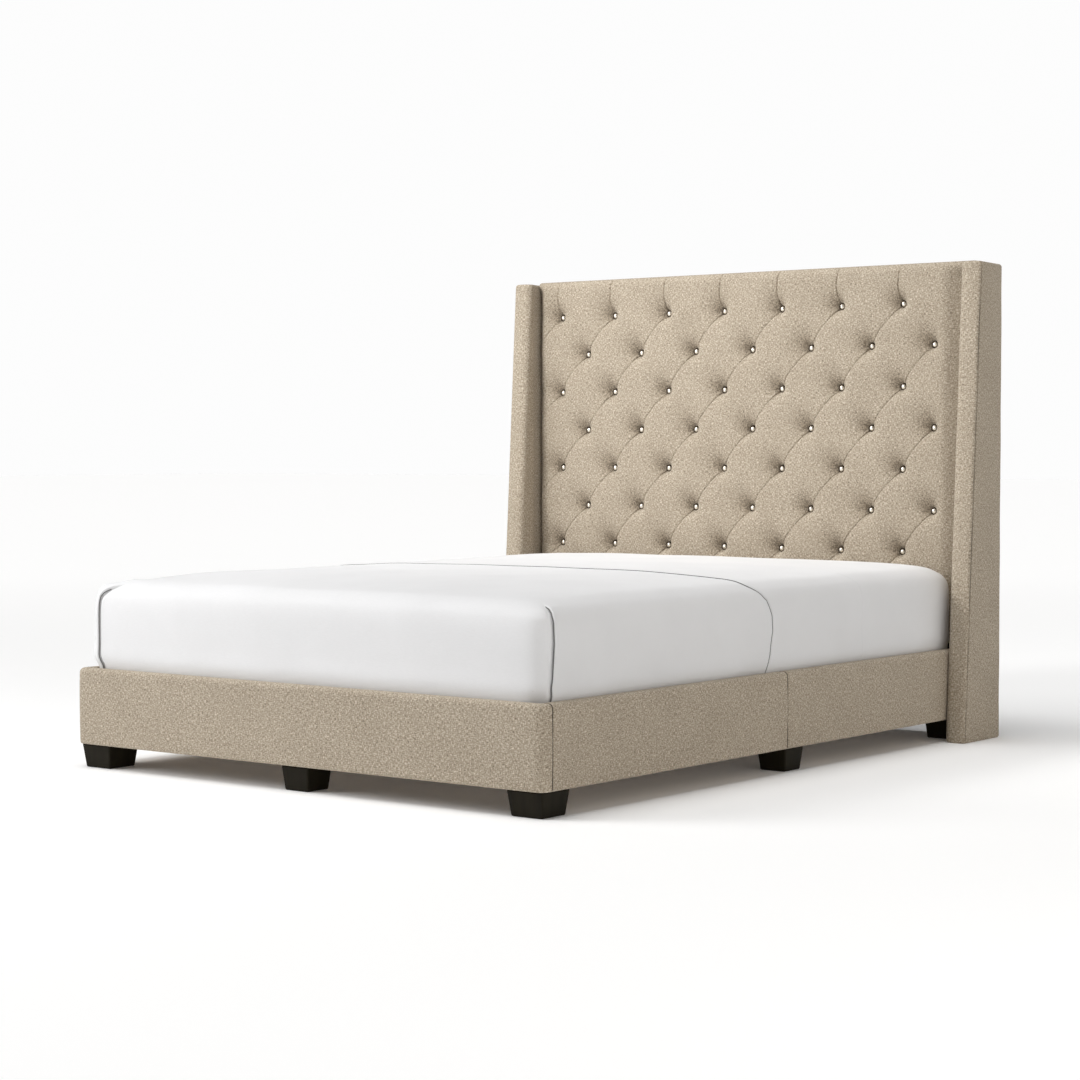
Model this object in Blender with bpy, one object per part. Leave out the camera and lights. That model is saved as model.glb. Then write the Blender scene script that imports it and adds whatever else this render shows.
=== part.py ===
"""A queen-size upholstered platform bed with a tall winged, button-tufted headboard and its mattress.

X runs across the bed, Y from the foot to the headboard and Z up. The origin is on the floor under
the middle of the bed. Below, "along" is a distance from the foot rail's outer face, and "depth" is a
distance in from a rail's outer face. Every piece hangs from the datum empty, which sits at the foot
rail's outer face, so each mesh is drawn with its own along distance as Y.
"""

import math

import bmesh
import bpy
from mathutils import Matrix, Vector

# Driving sizes of the whole bed
BED_LENGTH = 2.150
RAIL_HALF_SPAN = 0.800
WING_INNER = 0.810
WING_THICKNESS = 0.058
WING_HEIGHT = 1.414
GAP = 0.0003

# Rails: a plywood board inside a padded cover
RAIL_BOTTOM = 0.064
RAIL_TOP = 0.270
RAIL_DEPTH = 0.034
PADDING = 0.0097
LIP_THICKNESS = 0.0017
LIP_DROP = 0.045
BOTTOM_WRAP = 0.022
WRAP_THICKNESS = 0.0020
TOP_PADDING = 0.008
BOARD_BACK = RAIL_DEPTH - LIP_THICKNESS - GAP
BOARD_BOTTOM = RAIL_BOTTOM + WRAP_THICKNESS + GAP
BOARD_TOP = RAIL_TOP - TOP_PADDING - GAP
CORNER_RADIUS = 0.030
CORNER_STEPS = 6
RETURN_END = 0.036
SIDE_SEAM = 1.065
SEAM_HALF_GAP = 0.0004
SIDE_BOARD_END = 2.0995
SIDE_COVER_END = 2.096

# Ledgers and slats
LEDGER_THICKNESS = 0.028
LEDGER_TOP = 0.190
LEDGER_START = 0.096
SLAT_COUNT = 12
SLAT_WIDTH = 0.085
SLAT_THICKNESS = 0.018
SLAT_HALF_LENGTH = 0.764
FIRST_SLAT = 0.100
LAST_SLAT = 1.995
DECK = LEDGER_TOP + SLAT_THICKNESS

# Centre beam and its steel parts
BEAM_HALF_WIDTH = 0.020
BEAM_BOTTOM = 0.130
BEAM_START = RAIL_DEPTH + 0.003
BEAM_END = 2.099
STEEL = 0.003
CENTRE_LEGS = (0.72, 1.40)

# Wooden legs: half the width at the top and at the floor
CORNER_LEG = (0.054, 0.046)
MIDDLE_LEG = (0.046, 0.039)
LEG_INSET = 0.012
LEG_CHAMFER = 0.004
SIDE_LEG = 1.120
REAR_LEG = 2.046

# Headboard, front to back
PAD_FACE = 2.062
PAD_BOTTOM = 0.280
PAD_TOP = 1.421
PAD_SIDE = WING_INNER - 0.0005
PANEL_FRONT = 2.0943
PANEL_TOP = 1.385
POST_FRONT = 2.1064
POST_BACK = 2.1464
POST_INNER = 0.760
POST_OUTER = 0.8095
POST_TOP = 1.380
DUST_COVER_FRONT = 2.1478
DUST_COVER_BOTTOM = 0.030
BUTTON_ROWS = 8
BUTTONS_IN_ROW = 7
BUTTON_PITCH = 0.2152
BUTTON_ROW_PITCH = 0.1250
TOP_BUTTON_ROW = 1.300
FIRST_BUTTON = -0.7165
BUTTON_ROW_SHIFT = 0.106
BUTTON_RADIUS = 0.0100
BUTTON_RISE = 0.0025
BUTTON_SIDES = 10

# Wings
WING_FRONT_FLOOR = 1.926
WING_FRONT_TOP = 2.010
WING_EDGE_RADIUS = 0.008
WING_PADDING = 0.012
WING_BACK_PADDING = 0.004

# Mattress and bedding
MATTRESS_HALF_WIDTH = 0.7594
MATTRESS_FOOT = 0.0390
MATTRESS_HEAD = 2.0540
SHEET_THICKNESS = 0.0015
MATTRESS_BOTTOM = DECK + SHEET_THICKNESS + 2 * GAP
MATTRESS_EDGE_TOP = 0.508
MATTRESS_CROWN = 0.014
MATTRESS_EDGE_RADIUS = 0.050
MATTRESS_CORNER_RADIUS = 0.040
UNDER_HEM = 0.090
FLAT_SHEET_END = 0.985
FLAT_SHEET_HEM = 0.225

SIDES = (("left", -1), ("right", 1))


def clear_scene():
    for obj in list(bpy.data.objects):
        bpy.data.objects.remove(obj, do_unlink=True)


def look(name, colour, roughness, metallic=0.0):
    """A Principled material with one colour."""
    material = bpy.data.materials.new(name)
    material.use_nodes = True
    shader = material.node_tree.nodes["Principled BSDF"]
    shader.inputs["Base Color"].default_value = (*colour, 1.0)
    shader.inputs["Roughness"].default_value = roughness
    shader.inputs["Metallic"].default_value = metallic
    return material


def empty(name, location, parent=None):
    obj = bpy.data.objects.new(name, None)
    obj.location = location
    obj.parent = parent
    bpy.context.collection.objects.link(obj)
    return obj


def node(name, mesh, material, parent, location=(0.0, 0.0, 0.0)):
    """One sub-part: an object with its own material, hung from an empty."""
    obj = bpy.data.objects.new(name, mesh)
    obj.location = location
    obj.parent = parent
    bpy.context.collection.objects.link(obj)
    mesh.materials.clear()
    mesh.materials.append(material)
    return obj


def mesh_from(bm):
    """The bmesh as a mesh, with every face turned outwards."""
    bmesh.ops.recalc_face_normals(bm, faces=bm.faces)
    mesh = bpy.data.meshes.new("shape")
    bm.to_mesh(mesh)
    bm.free()
    return mesh


def arc(centre, radius, start, end, steps):
    """Points on an arc, both ends included, with its angles in degrees."""
    points = []
    for i in range(steps + 1):
        angle = math.radians(start + (end - start) * i / steps)
        points.append((centre[0] + radius * math.cos(angle), centre[1] + radius * math.sin(angle)))
    return points


def prism(outline, axis, low, high):
    """A flat outline drawn square to one axis and extruded along it."""
    first, second = {"X": (1, 2), "Y": (0, 2), "Z": (0, 1)}[axis]
    bm = bmesh.new()
    rings = []
    for level in (low, high):
        ring = []
        for a, b in outline:
            point = [level] * 3
            point[first], point[second] = a, b
            ring.append(bm.verts.new(point))
        rings.append(ring)
        bm.faces.new(ring)
    join_rings(bm, rings)
    return mesh_from(bm)


def join_rings(bm, rings):
    """Faces between each ring of points and the next."""
    for near, far in zip(rings, rings[1:]):
        for i in range(len(near)):
            j = (i + 1) % len(near)
            bm.faces.new((near[i], near[j], far[j], far[i]))


def box(low, high):
    outline = [(low[0], low[1]), (high[0], low[1]), (high[0], high[1]), (low[0], high[1])]
    return prism(outline, "Z", low[2], high[2])


def mirrored(side, near, far):
    """An X range given outwards from the bed's centre line, as low and high on that side."""
    return (near, far) if side > 0 else (-far, -near)


def side_box(side, near, far, along, height):
    """A box on the left or right side, with near and far measured from the centre line."""
    low, high = mirrored(side, near, far)
    return box((low, along[0], height[0]), (high, along[1], height[1]))


def combined(mesh, other, operation):
    """The mesh after a Boolean with the other one."""
    body = bpy.data.objects.new("body", mesh)
    tool = bpy.data.objects.new("tool", other)
    for obj in (body, tool):
        bpy.context.collection.objects.link(obj)
    boolean = body.modifiers.new("Boolean", "BOOLEAN")
    boolean.operation = operation
    boolean.object = tool
    graph = bpy.context.evaluated_depsgraph_get()
    result = bpy.data.meshes.new_from_object(body.evaluated_get(graph))
    for obj in (body, tool):
        bpy.data.objects.remove(obj, do_unlink=True)
    return result


def bevelled(obj, width, segments):
    bevel = obj.modifiers.new("Bevel", "BEVEL")
    bevel.width = width
    bevel.segments = segments
    bevel.limit_method = "ANGLE"
    return obj


# Rails -------------------------------------------------------------------------------------------


def cover_section():
    """The rail cover's section as (depth, height): padding outside, a thin lip inside the bed."""
    bottom_radius, top_radius, lip_radius = 0.005, 0.012, 0.005
    outer = [(BOTTOM_WRAP, RAIL_BOTTOM)]
    outer += arc((bottom_radius, RAIL_BOTTOM + bottom_radius), bottom_radius, 270, 180, 2)
    outer += arc((top_radius, RAIL_TOP - top_radius), top_radius, 180, 90, 4)
    outer += arc((RAIL_DEPTH - lip_radius, RAIL_TOP - lip_radius), lip_radius, 90, 0, 2)
    lip_inside = RAIL_DEPTH - LIP_THICKNESS
    return outer + [
        (RAIL_DEPTH, RAIL_TOP - LIP_DROP),
        (lip_inside, RAIL_TOP - LIP_DROP),
        (lip_inside, BOARD_TOP + GAP),
        (PADDING - GAP, BOARD_TOP + GAP),
        (PADDING - GAP, BOARD_BOTTOM - GAP),
        (BOTTOM_WRAP, BOARD_BOTTOM - GAP),
    ]


def foot_cover_point(side, depth, angle):
    """Where the foot cover's path is at a depth, on the corner's arc; angle None is the return's end."""
    if angle is None:
        return side * (RAIL_HALF_SPAN - depth), max(RETURN_END, depth)
    if depth >= CORNER_RADIUS:
        return side * (RAIL_HALF_SPAN - depth), depth
    radius = CORNER_RADIUS - depth
    x = RAIL_HALF_SPAN - CORNER_RADIUS + radius * math.cos(angle)
    return side * x, CORNER_RADIUS - radius * math.sin(angle)


def foot_cover():
    """The cover's section swept along the foot and round both corners, as far as the side seams."""
    quarter = [math.pi / 2 * i / CORNER_STEPS for i in range(CORNER_STEPS + 1)]
    stations = [(-1, None)] + [(-1, angle) for angle in quarter]
    stations += [(1, angle) for angle in reversed(quarter)] + [(1, None)]
    bm = bmesh.new()
    rings = []
    for side, angle in stations:
        ring = []
        for depth, height in cover_section():
            x, y = foot_cover_point(side, depth, angle)
            ring.append(bm.verts.new((x, y, height)))
        rings.append(ring)
    join_rings(bm, rings)
    bm.faces.new(rings[0])
    bm.faces.new(rings[-1])
    bmesh.ops.remove_doubles(bm, verts=bm.verts, dist=1e-6)
    return mesh_from(bm)


def foot_board():
    """The board behind the foot cover, with rounded front corners."""
    end = RAIL_HALF_SPAN - PADDING
    radius = CORNER_RADIUS - PADDING
    right = arc((end - radius, PADDING + radius), radius, 270, 360, CORNER_STEPS)
    outline = [(-x, y) for x, y in reversed(right)] + right
    outline += [(end, BOARD_BACK), (-end, BOARD_BACK)]
    return prism(outline, "Z", BOARD_BOTTOM, BOARD_TOP)


def make_rails(datum, linen, plywood, timber):
    node("foot_rail_board", foot_board(), plywood, datum)
    node("foot_rail_cover", foot_cover(), linen, datum)
    halves = (
        ("foot", BOARD_BACK + GAP, RETURN_END + GAP, LEDGER_START, SIDE_SEAM - SEAM_HALF_GAP, None),
        ("head", SIDE_SEAM + SEAM_HALF_GAP, SIDE_SEAM + SEAM_HALF_GAP, SIDE_SEAM + SEAM_HALF_GAP,
         SIDE_BOARD_END, SIDE_COVER_END),
    )
    board_inner = RAIL_HALF_SPAN - BOARD_BACK
    for word, side in SIDES:
        section = [(side * (RAIL_HALF_SPAN - depth), height) for depth, height in cover_section()]
        for half, board_start, cover_start, ledger_start, end, cover_end in halves:
            name = f"side_rail_{word}_{half}"
            board = side_box(side, board_inner, RAIL_HALF_SPAN - PADDING,
                             (board_start, end), (BOARD_BOTTOM, BOARD_TOP))
            node(f"{name}_board", board, plywood, datum)
            cover = prism(section, "Y", cover_start, cover_end or end)
            node(f"{name}_cover", cover, linen, datum)
            ledger = side_box(side, board_inner - GAP - LEDGER_THICKNESS, board_inner - GAP,
                              (ledger_start, end), (BOARD_BOTTOM, LEDGER_TOP))
            node(f"slat_ledger_{word}_{half}", ledger, timber, datum)


# Steel fittings ----------------------------------------------------------------------------------


def corner_bracket(side):
    """A folded steel angle in the inner corner between the foot board and a side board."""
    arm, bottom, top = 0.060, 0.078, 0.182
    corner_x = RAIL_HALF_SPAN - BOARD_BACK - GAP
    corner_y = BOARD_BACK + GAP
    outline = [
        (corner_x, corner_y),
        (corner_x, corner_y + arm),
        (corner_x - STEEL, corner_y + arm),
        (corner_x - STEEL, corner_y + STEEL),
        (corner_x - arm, corner_y + STEEL),
        (corner_x - arm, corner_y),
    ]
    return prism([(side * x, y) for x, y in outline], "Z", bottom, top)


def joining_plate(side):
    """A steel angle that bolts a side rail's two halves together and carries the middle leg's bolt."""
    half_length, plate_top, flange = 0.080, 0.176, 0.040
    face = RAIL_HALF_SPAN - BOARD_BACK - LEDGER_THICKNESS - 2 * GAP
    bottom = RAIL_BOTTOM
    outline = [
        (face, bottom),
        (face, plate_top),
        (face - STEEL, plate_top),
        (face - STEEL, bottom + STEEL),
        (face - flange, bottom + STEEL),
        (face - flange, bottom),
    ]
    return prism([(side * x, z) for x, z in outline], "Y", SIDE_SEAM - half_length, SIDE_SEAM + half_length)


def beam_hanger(wall, direction):
    """A steel cradle for one end of the centre beam; it leaves the wall along direction, +1 or -1."""
    reach, plate_half_width, plate_top, cheek_top = 0.050, 0.050, 0.182, 0.172
    inside = BEAM_HALF_WIDTH + GAP
    shelf = BEAM_BOTTOM - GAP
    cradle = [
        (-inside - STEEL, shelf - STEEL), (inside + STEEL, shelf - STEEL), (inside + STEEL, cheek_top),
        (inside, cheek_top), (inside, shelf), (-inside, shelf), (-inside, cheek_top),
        (-inside - STEEL, cheek_top),
    ]
    plate_face = wall + direction * STEEL
    along = sorted((wall + direction * STEEL / 2, wall + direction * reach))
    plate = sorted((wall, plate_face))
    back = box((-plate_half_width, plate[0], 0.100), (plate_half_width, plate[1], plate_top))
    return combined(back, prism(cradle, "Y", *along), "UNION")


HOOK_HEIGHTS = (0.115, 0.195)
HOOK_PLATE = (0.762, 0.790)
HOOK_X = 0.7785


def hook_plate(side):
    """The plate on a side rail's head end, with two hooks that drop into the headboard post."""
    front = SIDE_BOARD_END + GAP
    mesh = side_box(side, *HOOK_PLATE, (front, front + STEEL), (0.085, 0.245))
    for height in HOOK_HEIGHTS:
        nose = [
            (front + STEEL / 2, height - 0.010), (front + 0.0075, height - 0.010),
            (front + 0.0075, height - 0.016), (front + 0.0120, height - 0.014),
            (front + 0.0120, height + 0.010), (front + STEEL / 2, height + 0.010),
        ]
        low, high = mirrored(side, HOOK_X - STEEL / 2, HOOK_X + STEEL / 2)
        mesh = combined(mesh, prism(nose, "X", low, high), "UNION")
    return mesh


def hook_clearance(side, height, along, half_width):
    return side_box(side, HOOK_X - half_width, HOOK_X + half_width, along, (height - 0.020, height + 0.016))


def slotted_plate(side):
    """The plate let into the post's front face, with a slot for each hook."""
    front = SIDE_BOARD_END + STEEL + 2 * GAP
    mesh = side_box(side, *HOOK_PLATE, (front, front + STEEL), (0.085, 0.245))
    for height in HOOK_HEIGHTS:
        slot = hook_clearance(side, height, (front - STEEL, front + 2 * STEEL), 0.0035)
        mesh = combined(mesh, slot, "DIFFERENCE")
    return mesh


def headboard_post(side):
    """A timber post that stands on the floor, with a pocket behind each slot."""
    mesh = side_box(side, POST_INNER, POST_OUTER, (POST_FRONT, POST_BACK), (0.0, POST_TOP))
    for height in HOOK_HEIGHTS:
        pocket = hook_clearance(side, height, (POST_FRONT - 0.010, POST_FRONT + 0.012), 0.0045)
        mesh = combined(mesh, pocket, "DIFFERENCE")
    return mesh


def centre_leg():
    """A round steel support leg with a wide foot, turned about Z and standing on the floor."""
    profile = [(0.026, 0.0), (0.028, 0.003), (0.028, 0.008), (0.016, 0.012), (0.016, 0.118),
               (0.024, 0.120), (0.024, BEAM_BOTTOM - GAP)]
    sides = 20
    bm = bmesh.new()
    rings = []
    for radius, height in profile:
        circle = arc((0.0, 0.0), radius, 0, 360 - 360 / sides, sides - 1)
        rings.append([bm.verts.new((x, y, height)) for x, y in circle])
    join_rings(bm, rings)
    bm.faces.new(rings[0])
    bm.faces.new(rings[-1])
    mesh = mesh_from(bm)
    mesh.shade_smooth()
    mesh.set_sharp_from_angle(angle=math.radians(40))
    return mesh


def make_fittings(datum, steel, timber):
    for word, side in SIDES:
        node(f"foot_corner_bracket_{word}", corner_bracket(side), steel, datum)
        node(f"rail_joining_plate_{word}", joining_plate(side), steel, datum)
        node(f"rail_hook_plate_{word}", hook_plate(side), steel, datum)
        node(f"post_slot_plate_{word}", slotted_plate(side), steel, datum)
        node(f"headboard_post_{word}", headboard_post(side), timber, datum)
    node("beam_hanger_foot", beam_hanger(BOARD_BACK + GAP, 1), steel, datum)
    node("beam_hanger_head", beam_hanger(POST_FRONT - GAP, -1), steel, datum)
    support = centre_leg()
    for name, along in zip(("centre_leg_foot", "centre_leg_head"), CENTRE_LEGS):
        node(name, support, steel, datum, (0.0, along, 0.0))


# Mattress deck and legs --------------------------------------------------------------------------


def make_deck(datum, timber):
    beam = box((-BEAM_HALF_WIDTH, BEAM_START, BEAM_BOTTOM), (BEAM_HALF_WIDTH, BEAM_END, LEDGER_TOP))
    node("centre_beam", beam, timber, datum)
    half_width = SLAT_WIDTH / 2
    slat = box((-SLAT_HALF_LENGTH, -half_width, GAP), (SLAT_HALF_LENGTH, half_width, SLAT_THICKNESS))
    pitch = (LAST_SLAT - FIRST_SLAT) / (SLAT_COUNT - 1)
    for i in range(SLAT_COUNT):
        node(f"slat_{i + 1:02d}", slat, timber, datum, (0.0, FIRST_SLAT + i * pitch, LEDGER_TOP))


def tapered_leg(top, bottom):
    """A square block leg that narrows towards the floor, centred on its own axis."""
    bm = bmesh.new()
    rings = []
    for half, height in ((bottom, 0.0), (top, RAIL_BOTTOM - GAP)):
        rings.append([bm.verts.new((x * half, y * half, height))
                      for x, y in ((-1, -1), (1, -1), (1, 1), (-1, 1))])
        bm.faces.new(rings[-1])
    join_rings(bm, rings)
    return mesh_from(bm)


def make_legs(datum, espresso):
    corner, middle = tapered_leg(*CORNER_LEG), tapered_leg(*MIDDLE_LEG)
    corner_x = RAIL_HALF_SPAN - LEG_INSET - CORNER_LEG[0]
    middle_x = RAIL_HALF_SPAN - LEG_INSET - MIDDLE_LEG[0]
    places = [("leg_foot_middle", middle, 0.0, LEG_INSET + MIDDLE_LEG[0])]
    for word, side in SIDES:
        places.append((f"leg_foot_{word}", corner, side * corner_x, LEG_INSET + CORNER_LEG[0]))
        places.append((f"leg_side_{word}", middle, side * middle_x, SIDE_LEG))
        places.append((f"leg_head_{word}", middle, side * middle_x, REAR_LEG))
    for name, mesh, x, along in places:
        bevelled(node(name, mesh, espresso, datum, (x, along, 0.0)), LEG_CHAMFER, 2)


# Headboard ---------------------------------------------------------------------------------------


def button_places():
    """Each button's X and Z: rows of seven, every other row about half a pitch to the right."""
    for row in range(BUTTON_ROWS):
        start = FIRST_BUTTON + BUTTON_ROW_SHIFT * (row % 2)
        for column in range(BUTTONS_IN_ROW):
            yield start + column * BUTTON_PITCH, TOP_BUTTON_ROW - row * BUTTON_ROW_PITCH


def tufted_pad():
    """The headboard's padded cover: it wraps over the top to the back, and holds the buttons."""
    top_radius, back_edge = 0.030, DUST_COVER_FRONT - GAP
    outline = [(PANEL_FRONT - GAP, PAD_BOTTOM), (PAD_FACE + 0.006, PAD_BOTTOM), (PAD_FACE, PAD_BOTTOM + 0.010)]
    outline += arc((PAD_FACE + top_radius, PAD_TOP - top_radius), top_radius, 180, 90, 5)
    outline += arc((back_edge - 0.008, PAD_TOP - 0.008), 0.008, 90, 0, 2)
    outline += [(back_edge, PANEL_TOP + GAP), (PANEL_FRONT - GAP, PANEL_TOP + GAP)]
    pad = prism(outline, "X", -PAD_SIDE, PAD_SIDE)
    bm = bmesh.new()
    for x, z in button_places():
        rings = []
        for radius, along in ((BUTTON_RADIUS, PAD_FACE + 0.004), (BUTTON_RADIUS, PAD_FACE - BUTTON_RISE * 0.4),
                              (BUTTON_RADIUS * 0.6, PAD_FACE - BUTTON_RISE)):
            circle = arc((x, z), radius, 0, 360 - 360 / BUTTON_SIDES, BUTTON_SIDES - 1)
            rings.append([bm.verts.new((a, along, b)) for a, b in circle])
        join_rings(bm, rings)
        bm.faces.new(rings[0])
        bm.faces.new(rings[-1])
    return combined(pad, mesh_from(bm), "UNION")


def wing_outline(padding, back_padding, corner_radius, base=0.0):
    """A wing's side view as (along, height), drawn in from its outer outline by the padding."""
    lean = math.atan2(WING_FRONT_TOP - WING_FRONT_FLOOR, WING_HEIGHT)
    top = WING_HEIGHT - padding
    back = BED_LENGTH - back_padding
    shift = padding / math.cos(lean)

    def front(height):
        return WING_FRONT_FLOOR + height * math.tan(lean) + shift

    centre = (front(top - corner_radius) + corner_radius, top - corner_radius)
    outline = [(back, base), (front(base), base)]
    outline += arc(centre, corner_radius, 175, 90, 4)
    return outline + [(back, top)]


def wing_cover(side):
    """The wing's padded cover: a sleeve round the frame, open at the floor."""
    low, high = mirrored(side, WING_INNER, WING_INNER + WING_THICKNESS)
    outer = bpy.data.objects.new("outer", prism(wing_outline(0.0, 0.0, 0.014), "X", low, high))
    bpy.context.collection.objects.link(outer)
    bevelled(outer, WING_EDGE_RADIUS, 2)
    graph = bpy.context.evaluated_depsgraph_get()
    rounded = bpy.data.meshes.new_from_object(outer.evaluated_get(graph))
    bpy.data.objects.remove(outer, do_unlink=True)
    hollow = wing_outline(WING_PADDING - GAP, WING_BACK_PADDING - GAP, 0.004, base=-0.020)
    low, high = mirrored(side, WING_INNER + WING_PADDING - GAP, WING_INNER + WING_THICKNESS - WING_PADDING + GAP)
    return combined(rounded, prism(hollow, "X", low, high), "DIFFERENCE")


def make_headboard(datum, linen, plywood, timber, dust_cloth):
    between_posts = POST_INNER - GAP
    for name, low, high in (("headboard_top_rail", 1.335, POST_TOP), ("headboard_bottom_rail", 0.095, 0.185)):
        rail = box((-between_posts, POST_FRONT, low), (between_posts, POST_BACK, high))
        node(name, rail, timber, datum)
    panel = box((-POST_OUTER, PANEL_FRONT, PAD_BOTTOM), (POST_OUTER, POST_FRONT - GAP, PANEL_TOP))
    node("headboard_panel", panel, plywood, datum)
    node("headboard_tufted_pad", tufted_pad(), linen, datum)
    back = box((-PAD_SIDE, DUST_COVER_FRONT, DUST_COVER_BOTTOM), (PAD_SIDE, BED_LENGTH, PANEL_TOP + 0.010))
    node("headboard_back_cover", back, dust_cloth, datum)
    for word, side in SIDES:
        low, high = mirrored(side, WING_INNER + WING_PADDING, WING_INNER + WING_THICKNESS - WING_PADDING)
        frame = prism(wing_outline(WING_PADDING, WING_BACK_PADDING, 0.004), "X", low, high)
        node(f"wing_frame_{word}", frame, plywood, datum)
        node(f"wing_cover_{word}", wing_cover(side), linen, datum)


# Mattress and bedding ----------------------------------------------------------------------------


def mattress_ring(grow, inset):
    """A rounded rectangle round the mattress: grow moves it outwards, inset draws it in."""
    out = grow - inset
    half_width = MATTRESS_HALF_WIDTH + out
    foot, head = MATTRESS_FOOT - out, MATTRESS_HEAD + out
    radius = max(MATTRESS_CORNER_RADIUS + out, 0.010)
    points = []
    for x, y, start in ((half_width, head, 0), (-half_width, head, 90),
                        (-half_width, foot, 180), (half_width, foot, 270)):
        centre = (x - math.copysign(radius, x), y - radius if y == head else y + radius)
        points += arc(centre, radius, start, start + 90, 5)
    return points


def mattress_levels(grow, start_height):
    """Insets and heights up a mattress surface that has grown outwards, from its side to its crown."""
    radius = MATTRESS_EDGE_RADIUS
    levels = [(0.0, start_height)]
    for i in range(6):
        angle = math.radians(90 * i / 5)
        inset = radius * (1 - math.cos(angle))
        levels.append((inset, MATTRESS_EDGE_TOP - radius + (radius + grow) * math.sin(angle)))
    levels.append((0.180, MATTRESS_EDGE_TOP + grow + MATTRESS_CROWN * 0.7))
    levels.append((0.400, MATTRESS_EDGE_TOP + grow + MATTRESS_CROWN))
    return levels


def lofted_rings(bm, grow, levels):
    rings = []
    for inset, height in levels:
        rings.append([bm.verts.new((x, y, height)) for x, y in mattress_ring(grow, inset)])
    join_rings(bm, rings)
    return rings


def mattress():
    edge = 0.020
    levels = [(edge, MATTRESS_BOTTOM), (edge * 0.3, MATTRESS_BOTTOM + edge * 0.3)]
    levels += mattress_levels(0.0, MATTRESS_BOTTOM + edge)
    bm = bmesh.new()
    rings = lofted_rings(bm, 0.0, levels)
    bm.faces.new(rings[0])
    bm.faces.new(rings[-1])
    return mesh_from(bm)


def fitted_sheet():
    """A thin skin over the mattress, turned under it all round and open below."""
    edge = 0.020
    inner_grow, outer_grow = GAP, GAP + SHEET_THICKNESS
    bm = bmesh.new()
    hems = []
    for grow in (inner_grow, outer_grow):
        levels = [(UNDER_HEM, MATTRESS_BOTTOM - grow), (edge + grow, MATTRESS_BOTTOM - grow),
                  (edge * 0.3, MATTRESS_BOTTOM + edge * 0.3 - grow)]
        levels += mattress_levels(grow, MATTRESS_BOTTOM + edge)
        rings = lofted_rings(bm, grow, levels)
        bm.faces.new(rings[-1])
        hems.append(rings[0])
    join_rings(bm, hems)
    return mesh_from(bm)


def flat_sheet():
    """The flat sheet's foot half: over the top and down the foot and both sides."""
    inner_grow = 2 * GAP + SHEET_THICKNESS
    cut_at = Vector((0.0, FLAT_SHEET_END, 0.0))
    shells = []
    bm = bmesh.new()
    for grow in (inner_grow, inner_grow + SHEET_THICKNESS):
        rings = lofted_rings(bm, grow, mattress_levels(grow, FLAT_SHEET_HEM))
        bm.faces.new(rings[-1])
        shells.append(rings)
    geometry = list(bm.verts) + list(bm.edges) + list(bm.faces)
    bmesh.ops.bisect_plane(bm, geom=geometry, plane_co=cut_at, plane_no=(0, 1, 0), clear_outer=True)
    borders = [edge for edge in bm.edges if edge.is_boundary]
    bmesh.ops.bridge_loops(bm, edges=borders)
    return mesh_from(bm)


def make_bedding(datum, ticking, cotton):
    lift = empty("mattress_lift_axis", (0.0, BED_LENGTH / 2, 0.0), datum)
    back_to_foot = Matrix.Translation((0.0, -BED_LENGTH / 2, 0.0))
    for name, mesh, material in (("mattress", mattress(), ticking), ("fitted_sheet", fitted_sheet(), cotton),
                                 ("flat_sheet", flat_sheet(), cotton)):
        mesh.transform(back_to_foot)
        mesh.shade_smooth()
        mesh.set_sharp_from_angle(angle=math.radians(50))
        node(name, mesh, material, lift)


def main():
    clear_scene()
    linen = look("greige_linen", (0.52, 0.44, 0.36), 0.9)
    dust_cloth = look("black_dust_cloth", (0.03, 0.03, 0.03), 0.95)
    plywood = look("plywood", (0.62, 0.46, 0.29), 0.7)
    timber = look("pine", (0.72, 0.55, 0.36), 0.65)
    espresso = look("espresso_wood", (0.022, 0.014, 0.011), 0.35)
    steel = look("black_steel", (0.03, 0.03, 0.03), 0.45, 0.9)
    ticking = look("mattress_ticking", (0.80, 0.80, 0.79), 0.9)
    cotton = look("white_cotton", (0.86, 0.86, 0.87), 0.85)
    datum = empty("foot_datum", (0.0, -BED_LENGTH / 2, 0.0))
    make_rails(datum, linen, plywood, timber)
    make_fittings(datum, steel, timber)
    make_deck(datum, timber)
    make_legs(datum, espresso)
    make_headboard(datum, linen, plywood, timber, dust_cloth)
    make_bedding(datum, ticking, cotton)


main()
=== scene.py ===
"""The looks of a queen-size upholstered bed: linen covers, tufting, dressed mattress, block legs.

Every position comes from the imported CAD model, in metres: X across the bed, Y from the foot to the
headboard, Z up. "Along" is a distance from the foot rail's outer face, "depth" a distance in from a
rail's outer face, and "weave" the UV map that lays the cloth's own metres over each piece.
"""
import math

import bmesh
import bpy
import numpy as np
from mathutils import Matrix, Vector
from mathutils.bvhtree import BVHTree


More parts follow.
